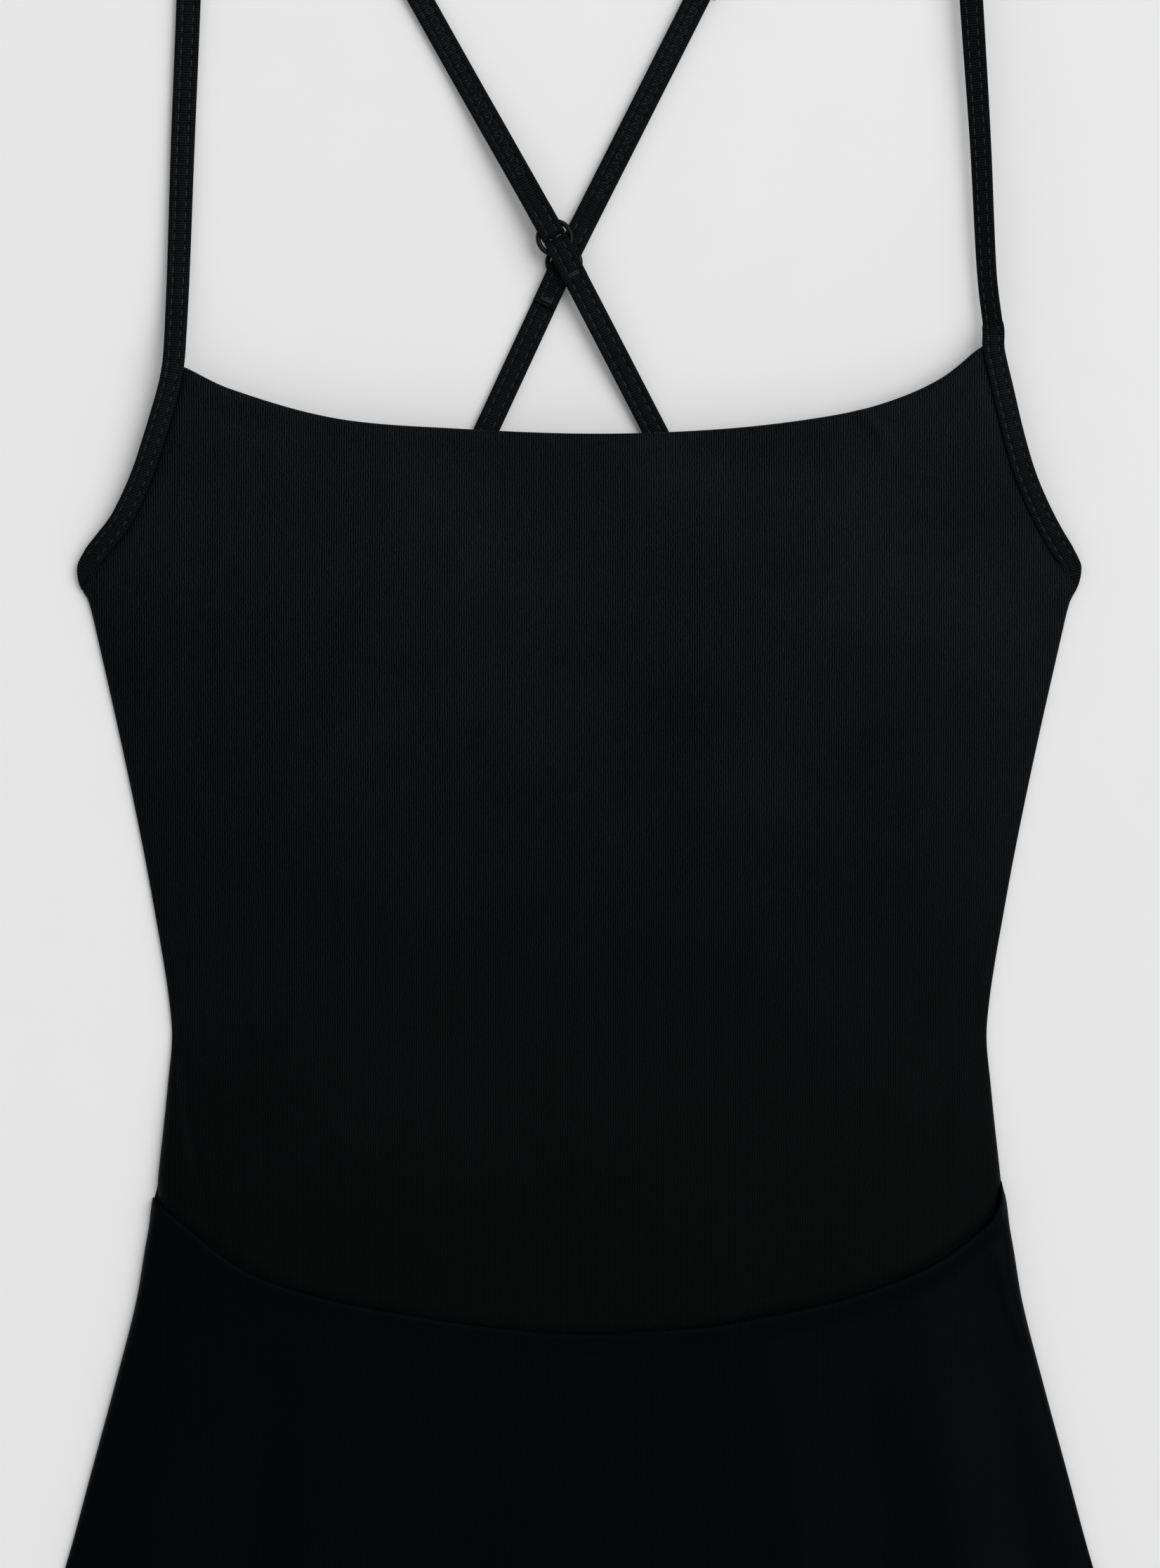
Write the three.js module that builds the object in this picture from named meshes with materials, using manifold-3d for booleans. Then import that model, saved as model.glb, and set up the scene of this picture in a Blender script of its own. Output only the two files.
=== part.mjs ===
// A skirted leotard with crossed, adjustable back straps, laid face up on a table.
// Millimetres. +Z is up from the table, +Y runs from the hem to the shoulders, +X is to the viewer's right.
// The origin is on the table under the centre of the back waist.
import * as THREE from "three";
import { mergeVertices } from "three/addons/utils/BufferGeometryUtils.js";
import Module from "manifold-3d";

// ---- driving sizes -------------------------------------------------------------------------
const gap = 0.3; // what touching cloths keep between them
const bodyCloth = 1.2; // outer knit of the bodice
const skirtCloth = 1.0;
const liningCloth = 0.6;
const elasticCloth = 0.8;

const underarmHeight = 225; // from the back waist up to the tip of the underarm
const underarmHalfWidth = 179.5;
const waistHeight = 60; // where the body is narrowest
const waistHalfWidth = 145.6;
const seamSideHeight = 5; // waist seam at the side
const seamHalfWidth = 150.5;
const seamFrontDip = 49.5; // how far the front waist seam falls below the back waist
const backSeamDip = 14;
const skirtTopHalfWidth = 152.3;
const skirtFlare = 0.262; // widening of each side per millimetre of skirt
const hemSide = -276;
const hemCentre = -300;

const neckCentreHeight = 269.5;
const neckCorner = { left: [-139.5, 293.2], right: [143.2, 300.7] };
const bindingWidth = 8;
const bindingThickness = 1.6;

const strapWidth = 8.75;
const strapThickness = 1.0;
const shoulderFold = { left: [-134.5, 565], right: [129, 598] };
const foldRadius = 1.5;
const backEdgeCentre = 165; // low, open back
const attachAside = { left: 82, right: -82 }; // the straps cross, so the left one ends on the right

const ringRadius = 5.85; // to the middle of the wire
const ringWire = 0.9; // radius of the wire
const ringPlace = { left: [-8.75, 340.25], right: [-5.5, 332] };
const loopReach = 3.2; // from the ring's centre to the centre of the bend around its wire
const loopLand = 17; // length of the doubled end, from the ring's centre
const loopEdgeGap = 0.68; // from the bend's centre to the wire's middle, at the strap's edge
const lieHeight = 1.7; // middle of a strap where it lies on the slider's bars

const sliderPlace = { left: 160, right: 112 }; // along the strap, from the ring's centre
const sliderLength = 12;
const sliderBar = 0.8;
const sliderMiddleBar = 0.5; // radius
const sliderRail = 1.2;
const sliderSideGap = 0.4;

const cupCentre = [62, 206];
const cupHalfSize = [50, 46];
const cupHeight = 5; // how far the padding lifts the cloth
const cupRim = 0.8;

const crotchHeight = -215;
const hipHeight = -75; // top of the leg opening
const hipHalfWidth = 150;
const crotchHalfWidth = 40;
const legElasticWidth = 8;
const waistElasticWidth = 8;
const braBandHeight = 135;
const braBandWidth = 10;
const neckElasticWidth = 6;
const gussetHalfWidth = 34;
const gussetLength = 85;
const labelSize = [24, 13];

// ---- curves --------------------------------------------------------------------------------
const mix = (from, to, share) => from + (to - from) * share;

// A smooth line through [key, value] pairs with rising keys, level beyond its ends.
function profile(...pairs) {
  const slope = (i) => {
    const [before, after] = [pairs[Math.max(0, i - 1)], pairs[Math.min(pairs.length - 1, i + 1)]];
    return (after[1] - before[1]) / (after[0] - before[0]);
  };
  return (key) => {
    if (key <= pairs[0][0]) return pairs[0][1];
    const i = pairs.findIndex(([k]) => k >= key);
    if (i < 0) return pairs.at(-1)[1];
    const [from, to] = [pairs[i - 1], pairs[i]];
    const span = to[0] - from[0];
    const t = (key - from[0]) / span;
    const ease = t * t * (3 - 2 * t);
    const lift = t * (1 - t) * span * ((1 - t) * slope(i - 1) - t * slope(i));
    return mix(from[1], to[1], ease) + lift;
  };
}

// Half width of the body from the waist seam to the underarm.
const bodyHalf = profile(
  [seamSideHeight, seamHalfWidth],
  [mix(seamSideHeight, waistHeight, 0.6), mix(seamHalfWidth, waistHalfWidth, 0.72)],
  [waistHeight, waistHalfWidth],
  [mix(waistHeight, underarmHeight, 0.27), mix(waistHalfWidth, underarmHalfWidth, 0.2)],
  [mix(waistHeight, underarmHeight, 0.55), mix(waistHalfWidth, underarmHalfWidth, 0.47)],
  [mix(waistHeight, underarmHeight, 0.9), mix(waistHalfWidth, underarmHalfWidth, 0.86)],
  [underarmHeight - 9, underarmHalfWidth - 1],
);
const skirtHalf = (y) => skirtTopHalfWidth + skirtFlare * Math.max(0, -y - 6);

// Outer edge of each armhole, from the strap down to the underarm: [height, half width].
const armhole = {
  left: profile(
    [underarmHeight - 7.5, underarmHalfWidth + 5],
    [underarmHeight, underarmHalfWidth],
    [underarmHeight + 7.5, underarmHalfWidth - 5.3],
    [underarmHeight + 15, underarmHalfWidth - 11.7],
    [underarmHeight + 30, underarmHalfWidth - 19.3],
    [underarmHeight + 45, underarmHalfWidth - 24.5],
    [underarmHeight + 65, underarmHalfWidth - 30.3],
    [underarmHeight + 75, underarmHalfWidth - 31.7],
  ),
  right: profile(
    [underarmHeight - 7.5, underarmHalfWidth + 5],
    [underarmHeight, underarmHalfWidth],
    [underarmHeight + 7.5, underarmHalfWidth - 4.7],
    [underarmHeight + 15, underarmHalfWidth - 9.3],
    [underarmHeight + 30, underarmHalfWidth - 16.3],
    [underarmHeight + 45, underarmHalfWidth - 21],
    [underarmHeight + 65, underarmHalfWidth - 25.8],
    [underarmHeight + 75, underarmHalfWidth - 28.3],
  ),
};
const sideSign = { left: -1, right: 1 };
const sideNames = ["left", "right"];

// Points along an edge given by its half width at a height, moved inwards by `inset`.
function edgeRoute({ half, sign, from, to, steps, inset }) {
  const route = [];
  for (let i = 0; i <= steps; i++) {
    const y = mix(from, to, i / steps);
    const slope = half(y + 0.5) - half(y - 0.5);
    const run = Math.hypot(slope, 1);
    route.push([sign * (half(y) - inset / run), y + (inset * slope) / run]);
  }
  return route;
}
const armholeRoute = (side, inset) =>
  edgeRoute({
    half: armhole[side],
    sign: sideSign[side],
    from: underarmHeight,
    to: neckCorner[side][1] + 6,
    steps: 14,
    inset,
  });

// Half width of the front panel: the body's side, then the inner line of the armhole binding.
const frontHalf = {};
const besideBinding = bindingWidth + 3 * gap; // from the armhole's outer edge to the panel
const underarmInner = Math.max(...sideNames.map((side) => armholeRoute(side, besideBinding)[0][1]));
const underarmTip = underarmInner - bindingWidth / 4;
for (const side of sideNames) {
  const inner = armholeRoute(side, besideBinding).map(([x, y]) => [y, Math.abs(x)]);
  const armLine = profile(...inner);
  frontHalf[side] = (y) => {
    if (y <= underarmTip) return bodyHalf(y);
    if (y >= underarmInner) return armLine(y);
    const share = (y - underarmTip) / (underarmInner - underarmTip);
    return mix(bodyHalf(underarmTip), armLine(underarmInner), share);
  };
}

// The waist seam in front, the back edge and the hem, each as a height at x, alike on both sides.
const mirrored = (...pairs) => {
  const line = profile([-pairs[1][0], pairs[1][1]], ...pairs);
  return (x) => line(Math.abs(x));
};
const seamFront = mirrored(
  [0, -seamFrontDip],
  [seamHalfWidth * 0.32, mix(-seamFrontDip, seamSideHeight, 0.07)],
  [seamHalfWidth * 0.54, mix(-seamFrontDip, seamSideHeight, 0.19)],
  [seamHalfWidth * 0.8, mix(-seamFrontDip, seamSideHeight, 0.45)],
  [seamHalfWidth * 0.94, mix(-seamFrontDip, seamSideHeight, 0.72)],
  [seamHalfWidth, seamSideHeight],
);
const backEdge = mirrored(
  [0, backEdgeCentre],
  [82, mix(backEdgeCentre, underarmHeight, 0.12)],
  [125, mix(backEdgeCentre, underarmHeight, 0.32)],
  [155, mix(backEdgeCentre, underarmHeight, 0.6)],
  [underarmHalfWidth, underarmHeight - 1],
  [underarmHalfWidth + 10, underarmHeight + 8],
);
const seamBack = (x) => mix(-backSeamDip, seamSideHeight, (x / seamHalfWidth) ** 2);
const hem = (x) => mix(hemCentre, hemSide, (x / skirtHalf(hemSide)) ** 2);
// The point at x on such an edge, moved down from it by `inset`, square to it.
function besideEdge(edge, x, inset) {
  const slope = edge(x + 0.5) - edge(x - 0.5);
  const run = Math.hypot(1, slope);
  return [x + (inset * slope) / run, edge(x) - inset / run];
}
// An edge through points as a height at a share of the way across, between two half widths.
function edgeByShare(points, left, right) {
  const share = ([x, y]) => (x + left(y)) / (left(y) + right(y));
  const last = points.length - 1;
  return profile(...points.map((p, i) => [i === 0 ? 0 : i === last ? 1 : share(p), p[1]]));
}

const necklinePoints = [
  neckCorner.left,
  [-120, neckCentreHeight + 15.5],
  [-82, neckCentreHeight + 5.5],
  [-40, neckCentreHeight + 1.8],
  [6, neckCentreHeight],
  [48, neckCentreHeight + 1.6],
  [81, neckCentreHeight + 5.5],
  [104, neckCentreHeight + 10.5],
  [126, neckCentreHeight + 19],
  neckCorner.right,
];
const neckline = edgeByShare(necklinePoints, frontHalf.left, frontHalf.right);

// ---- how high the front lies above the table ------------------------------------------------
const sideRise = profile(
  [hemCentre, skirtCloth + gap],
  [-170, skirtCloth + gap + 0.2],
  [-60, 3.9],
  [10, 4],
  [50, 2],
  [underarmHeight, 1.9],
  [neckCorner.right[1], 2.6],
);
const dome = profile(
  [hemCentre, 8],
  [-200, 9.5],
  [-100, 10.5],
  [-40, 9.5],
  [60, 9.5],
  [140, 11.9],
  [215, 12.2],
  [300, 10],
);

function cupLift(x, y) {
  const along = (Math.abs(x) - cupCentre[0]) / (cupHalfSize[0] * 0.8);
  const up = (y - cupCentre[1]) / (cupHalfSize[1] * 0.8);
  return cupHeight * Math.exp(-along * along - up * up);
}
const halfAt = (y) => (y > seamSideHeight ? bodyHalf(y) : skirtHalf(y));
const arch = (x, y) => 1 - Math.min(1, Math.abs(x) / halfAt(y)) ** 4;
// Underside of the outer cloth of the front.
const frontHeight = (x, y) => sideRise(y) + dome(y) * arch(x, y) + cupLift(x, y);
// Top of the inner lining, under the cups.
const liningTop = (x, y) => frontHeight(x, y) - cupLift(x, y) - cupRim - 4 * gap;

// ---- builders ------------------------------------------------------------------------------
const leotard = new THREE.Group();

function add(name, geometry, finish) {
  geometry.computeVertexNormals();
  const mesh = new THREE.Mesh(geometry, new THREE.MeshStandardMaterial(finish));
  mesh.name = name;
  leotard.add(mesh);
  return mesh;
}

// Cloth as a box whose corners are carried to place(across, along, up), each from 0 to 1.
function cloth(columns, rows, place) {
  const geometry = new THREE.BoxGeometry(1, 1, 1, columns, rows, 1);
  const corners = geometry.attributes.position;
  for (let i = 0; i < corners.count; i++) {
    const [across, along, up] = [corners.getX(i) + 0.5, corners.getY(i) + 0.5, corners.getZ(i) + 0.5];
    corners.setXYZ(i, ...place(across, along, up));
  }
  return geometry;
}

// A panel between two edges and two sides. low and high give the height at a share across, half
// widths are given at a height, and under is the underside's height above the table. The grid is
// finer towards the sides. `levels` are [row, height] pairs: those rows lie level at that height.
function panel({ columns, rows, low, high, left, right, under, thickness, levels = [] }) {
  return cloth(columns, rows, (across, along, up) => {
    const share = mix(across, 0.5 - 0.5 * Math.cos(Math.PI * across), 0.6);
    const knots = [[0, low(share)], ...levels, [rows, high(share)]];
    const next = Math.max(1, knots.findIndex(([row]) => row >= along * rows - 1e-6));
    const [[fromRow, from], [toRow, to]] = [knots[next - 1], knots[next]];
    const y = mix(from, to, (along * rows - fromRow) / (toRow - fromRow));
    const x = mix(-left(y), right(y), share);
    return [x, y, under(x, y) + up * thickness];
  });
}

// A flat strip along a route of [x, y, z], with `spans` steps from each point to the next. sideAt
// gives the direction across it at a share of the way, and by default it lies level. widthAt gives
// its width at a point of its middle line.
function strip({ route, width, thickness, spans = 1, sideAt, widthAt = () => width }) {
  const curve = new THREE.CatmullRomCurve3(route.map((p) => new THREE.Vector3(...p)), false, "centripetal");
  const level = new THREE.Vector3(0, 0, 1);
  return cloth(1, (route.length - 1) * spans, (across, along, up) => {
    const point = curve.getPoint(along);
    const travel = curve.getTangent(along);
    const side = sideAt ? sideAt(along) : travel.clone().cross(level);
    const normal = side.clone().cross(travel).normalize();
    side.crossVectors(travel, normal).normalize();
    const aside = (across - 0.5) * widthAt(point);
    return point.addScaledVector(side, aside).addScaledVector(normal, (up - 0.5) * thickness).toArray();
  });
}

const wasm = await Module();
wasm.setup();

// Several overlapping solids as one.
function joined(geometries) {
  const solids = geometries.map((geometry) => {
    const loose = geometry.index ? geometry.toNonIndexed() : geometry;
    const bare = new THREE.BufferGeometry();
    bare.setAttribute("position", loose.getAttribute("position"));
    const merged = mergeVertices(bare, 1e-4);
    const mesh = new wasm.Mesh({
      numProp: 3,
      vertProperties: merged.attributes.position.array,
      triVerts: new Uint32Array(merged.index.array),
    });
    return new wasm.Manifold(mesh);
  });
  const whole = solids.reduce((sum, next) => sum.add(next)).getMesh();
  const geometry = new THREE.BufferGeometry();
  const corners = new THREE.BufferAttribute(new Float32Array(whole.vertProperties), 3);
  geometry.setAttribute("position", corners);
  geometry.setIndex(new THREE.BufferAttribute(new Uint32Array(whole.triVerts), 1));
  return geometry;
}

// A strip that lies on a surface: a level route of [x, y], with under(x, y) as its underside.
function draped({ route, width, thickness, under }) {
  const flat = strip({ route: route.map(([x, y]) => [x, y, 0]), width, thickness: 1 });
  const corners = flat.attributes.position;
  for (let i = 0; i < corners.count; i++) {
    const [x, y, up] = [corners.getX(i), corners.getY(i), corners.getZ(i) + 0.5];
    corners.setZ(i, under(x, y) + up * thickness);
  }
  return flat;
}

const knit = { color: 0x14171a, roughness: 0.78, metalness: 0 };
const skirtKnit = { color: 0x0b0f12, roughness: 0.85, metalness: 0 };
const lining = { color: 0x16181a, roughness: 0.9, metalness: 0 };
const elastic = { color: 0x101214, roughness: 0.85, metalness: 0 };
const foam = { color: 0x1c1e20, roughness: 0.95, metalness: 0 };
const enamel = { color: 0x0a0a0b, roughness: 0.22, metalness: 0.1 };
const satin = { color: 0xd8d8d4, roughness: 0.6, metalness: 0 };

// ---- bodice --------------------------------------------------------------------------------
// The outer front, from the waist seam to the turned neckline.
add(
  "front_bodice",
  panel({
    columns: 20,
    rows: 22,
    levels: [
      [14, underarmTip],
      [15, underarmInner],
    ],
    low: (across) => seamFront(mix(-seamHalfWidth, seamHalfWidth, across)) + gap / 2,
    high: neckline,
    left: frontHalf.left,
    right: frontHalf.right,
    under: frontHeight,
    thickness: bodyCloth,
  }),
  knit,
);

// The outer back, flat on the table, from the waist seam to the binding of the low back edge.
const backTopPoints = [];
const backTopReach = underarmHalfWidth - bindingWidth * 1.3; // where its line meets the sides
for (let i = 0; i <= 20; i++) {
  const x = mix(-backTopReach, backTopReach, i / 20);
  backTopPoints.push(besideEdge(backEdge, x, besideBinding));
}
const backPanelTop = (half) => edgeByShare(backTopPoints, half, half);
add(
  "back_bodice",
  panel({
    columns: 14,
    rows: 10,
    low: (across) => seamBack(mix(-seamHalfWidth, seamHalfWidth, across)) + gap / 2,
    high: backPanelTop(bodyHalf),
    left: bodyHalf,
    right: bodyHalf,
    under: () => 0,
    thickness: bodyCloth,
  }),
  knit,
);

// Front lining of the built-in bra, from the band to just under the neckline elastic.
const liningShare = 0.9;
add(
  "bra_lining_front",
  panel({
    columns: 16,
    rows: 10,
    low: () => braBandHeight - braBandWidth / 2,
    high: (across) => neckline(across) - neckElasticWidth - 3 * gap,
    left: (y) => frontHalf.left(y) * liningShare,
    right: (y) => frontHalf.right(y) * liningShare,
    under: (x, y) => liningTop(x, y) - liningCloth,
    thickness: liningCloth,
  }),
  lining,
);
const backLiningUnder = bodyCloth + gap;
add(
  "bra_lining_back",
  panel({
    columns: 12,
    rows: 2,
    low: () => braBandHeight - braBandWidth / 2,
    high: (across) => {
      const share = mix((1 - liningShare) / 2, (1 + liningShare) / 2, across);
      return backPanelTop(bodyHalf)(share) - gap;
    },
    left: (y) => bodyHalf(y) * liningShare,
    right: (y) => bodyHalf(y) * liningShare,
    under: () => backLiningUnder,
    thickness: liningCloth,
  }),
  lining,
);

// Soft cups between the lining and the outer front, thin at the rim.
for (const side of sideNames) {
  const geometry = new THREE.SphereGeometry(1, 20, 10).rotateX(Math.PI / 2);
  const at = geometry.attributes.position;
  for (let i = 0; i < at.count; i++) {
    const x = sideSign[side] * cupCentre[0] + at.getX(i) * cupHalfSize[0];
    const y = cupCentre[1] + at.getY(i) * cupHalfSize[1];
    const thickness = cupLift(x, y) + cupRim;
    const middle = liningTop(x, y) + gap + thickness / 2;
    at.setXYZ(i, x, y, middle + (at.getZ(i) * thickness) / 2);
  }
  add("bust_cup_" + side, geometry, foam);
}

// Elastics: strips under the cloth they are sewn to. placeAt gives [x, y] at a share across.
function elasticStrip({ name, placeAt, under, width, steps, from = 0, to = 1 }) {
  const route = [];
  for (let i = 0; i <= steps; i++) route.push(placeAt(mix(from, to, i / steps)));
  add(name, draped({ route, width, thickness: elasticCloth, under }), elastic);
}
const underFront = (x, y) => frontHeight(x, y) - gap - elasticCloth;
const bandReach = bodyHalf(braBandHeight) * (liningShare - 0.06);
const bandPlace = (share) => [mix(-bandReach, bandReach, share), braBandHeight];
elasticStrip({
  name: "bra_band_front",
  placeAt: bandPlace,
  under: (x, y) => liningTop(x, y) - liningCloth - gap - elasticCloth,
  width: braBandWidth,
  steps: 18,
});
elasticStrip({
  name: "bra_band_back",
  placeAt: bandPlace,
  under: () => backLiningUnder + liningCloth + gap,
  width: braBandWidth,
  steps: 4,
});
elasticStrip({
  name: "neckline_elastic",
  placeAt: (share) => {
    const y = neckline(share) - neckElasticWidth / 2 - 2 * gap;
    return [mix(-frontHalf.left(y), frontHalf.right(y), share), y];
  },
  under: underFront,
  width: neckElasticWidth,
  steps: 20,
  from: 0.02,
  to: 0.98,
});
const waistReach = seamHalfWidth - 5;
const besideSeam = waistElasticWidth / 2 + 3 * gap;
elasticStrip({
  name: "waist_elastic_front",
  placeAt: (share) => besideEdge(seamFront, mix(-waistReach, waistReach, share), -besideSeam),
  under: underFront,
  width: waistElasticWidth,
  steps: 20,
});
elasticStrip({
  name: "waist_elastic_back",
  placeAt: (share) => besideEdge(seamBack, mix(-waistReach, waistReach, share), -besideSeam),
  under: () => bodyCloth + gap,
  width: waistElasticWidth,
  steps: 10,
});

// A blank label, sewn in under the back edge.
const label = new THREE.BoxGeometry(labelSize[0], labelSize[1], liningCloth);
const labelMesh = add("care_label", label, satin);
labelMesh.position.set(
  0,
  braBandHeight + braBandWidth / 2 + gap + labelSize[1] / 2,
  backLiningUnder + liningCloth + gap + liningCloth / 2,
);

// ---- skirt and brief -----------------------------------------------------------------------
const skirtEdge = skirtHalf(hemSide);
const skirtPanel = (seam, under) =>
  panel({
    columns: 20,
    rows: 12,
    low: (across) => hem(mix(-skirtEdge, skirtEdge, across)),
    high: (across) => seam(mix(-seamHalfWidth, seamHalfWidth, across)) - gap / 2,
    left: skirtHalf,
    right: skirtHalf,
    under,
    thickness: skirtCloth,
  });
add("skirt_front", skirtPanel(seamFront, frontHeight), skirtKnit);
add("skirt_back", skirtPanel(seamBack, () => 0), skirtKnit);

const briefHalf = profile(
  [crotchHeight, crotchHalfWidth],
  [mix(crotchHeight, hipHeight, 0.2), mix(crotchHalfWidth, hipHalfWidth, 0.06)],
  [mix(crotchHeight, hipHeight, 0.5), mix(crotchHalfWidth, hipHalfWidth, 0.32)],
  [mix(crotchHeight, hipHeight, 0.8), mix(crotchHalfWidth, hipHalfWidth, 0.72)],
  [hipHeight, hipHalfWidth],
  [seamSideHeight, seamHalfWidth],
);
const briefBackUnder = skirtCloth + gap;
const crotchFrontUnder = briefBackUnder + bodyCloth + 4 * gap + 2 * elasticCloth;
const briefFrontUnder = (x, y) => {
  const open = Math.min(1, Math.max(0, (y - crotchHeight) / 60));
  return mix(crotchFrontUnder, frontHeight(x, y) - gap - bodyCloth, open * open * (3 - 2 * open));
};
const briefPanel = (seam, under) =>
  panel({
    columns: 14,
    rows: 16,
    low: () => crotchHeight,
    high: (across) => seam(mix(-seamHalfWidth, seamHalfWidth, across)) - gap / 2,
    left: briefHalf,
    right: briefHalf,
    under,
    thickness: bodyCloth,
  });
add("brief_front", briefPanel(seamFront, briefFrontUnder), knit);
add("brief_back", briefPanel(seamBack, () => briefBackUnder), knit);

const briefBackTop = briefBackUnder + bodyCloth;
const gussetHalf = (y) => Math.min(gussetHalfWidth, briefHalf(y) - legElasticWidth - 2 * gap);
add(
  "gusset_lining",
  panel({
    columns: 2,
    rows: 6,
    low: () => crotchHeight + gap,
    high: () => crotchHeight + gussetLength,
    left: gussetHalf,
    right: gussetHalf,
    under: () => briefBackTop + gap,
    thickness: liningCloth,
  }),
  lining,
);

// Leg elastics: a front and a back length for each leg, sewn inside the leg's edge.
const legHeights = {
  front: (x, y) => briefFrontUnder(x, y) - 2 * gap - elasticCloth,
  back: () => briefBackTop + gap,
};
for (const side of sideNames) {
  for (const [layer, under] of Object.entries(legHeights)) {
    const route = edgeRoute({
      half: briefHalf,
      sign: sideSign[side],
      from: crotchHeight + 2,
      to: hipHeight - 6,
      steps: 12,
      inset: legElasticWidth / 2 + gap,
    });
    add(
      `leg_elastic_${layer}_${side}`,
      draped({ route, width: legElasticWidth, thickness: elasticCloth, under }),
      elastic,
    );
  }
}

// ---- bindings ------------------------------------------------------------------------------
const overBack = bindingThickness + gap;
const armBindingUnder = (x, y) => Math.max(frontHeight(x, y) - gap, overBack);
for (const side of sideNames) {
  const route = armholeRoute(side, bindingWidth / 2);
  add(
    "armhole_binding_" + side,
    draped({ route, width: bindingWidth, thickness: bindingThickness, under: armBindingUnder }),
    elastic,
  );
}
const backRoute = [];
for (let i = 0; i <= 24; i++) {
  const x = mix(-underarmHalfWidth + 3, underarmHalfWidth - 3, i / 24);
  backRoute.push(besideEdge(backEdge, x, bindingWidth / 2));
}
add(
  "back_edge_binding",
  draped({ route: backRoute, width: bindingWidth, thickness: bindingThickness, under: () => 0 }),
  elastic,
);

// ---- straps, rings and sliders -------------------------------------------------------------
// Height of each ring: the right strap's ring lies under the left one's.
const wrap = ringWire + gap + strapThickness / 2; // from the wire's middle to the strap's middle
const pairHalf = (strapThickness + gap) / 2; // from the middle of a doubled strap to each layer
const ringStack = 2 * wrap + strapThickness + gap;
const ringHeight = { right: wrap + strapThickness / 2 + 0.2 };
ringHeight.left = ringHeight.right + ringStack;
const strapRise = { left: [3.4, 2.8, 3.0], right: [5.5, 8.5, 7.0] }; // front strap over its length
const foldTuck = 2; // from the shoulder fold back to where the upper back strap starts
const endGap = strapWidth * 0.0343; // between the two straps' ends there
// A strap wider than the ring admits is gathered where it goes round the wire.
const ringAdmits = 2 * Math.sqrt(ringRadius ** 2 - (loopReach + loopEdgeGap) ** 2);
const loopWidth = Math.min(strapWidth, ringAdmits);

// Points of one bend around the ring's wire, as [distance from the ring, height above it],
// from the lower layer to the upper one.
function bendAroundWire() {
  const points = [];
  for (let i = 0; i <= 6; i++) {
    const turn = (Math.PI * i) / 6;
    points.push([loopReach - wrap * Math.sin(turn), -wrap * Math.cos(turn)]);
  }
  return points;
}

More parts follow.
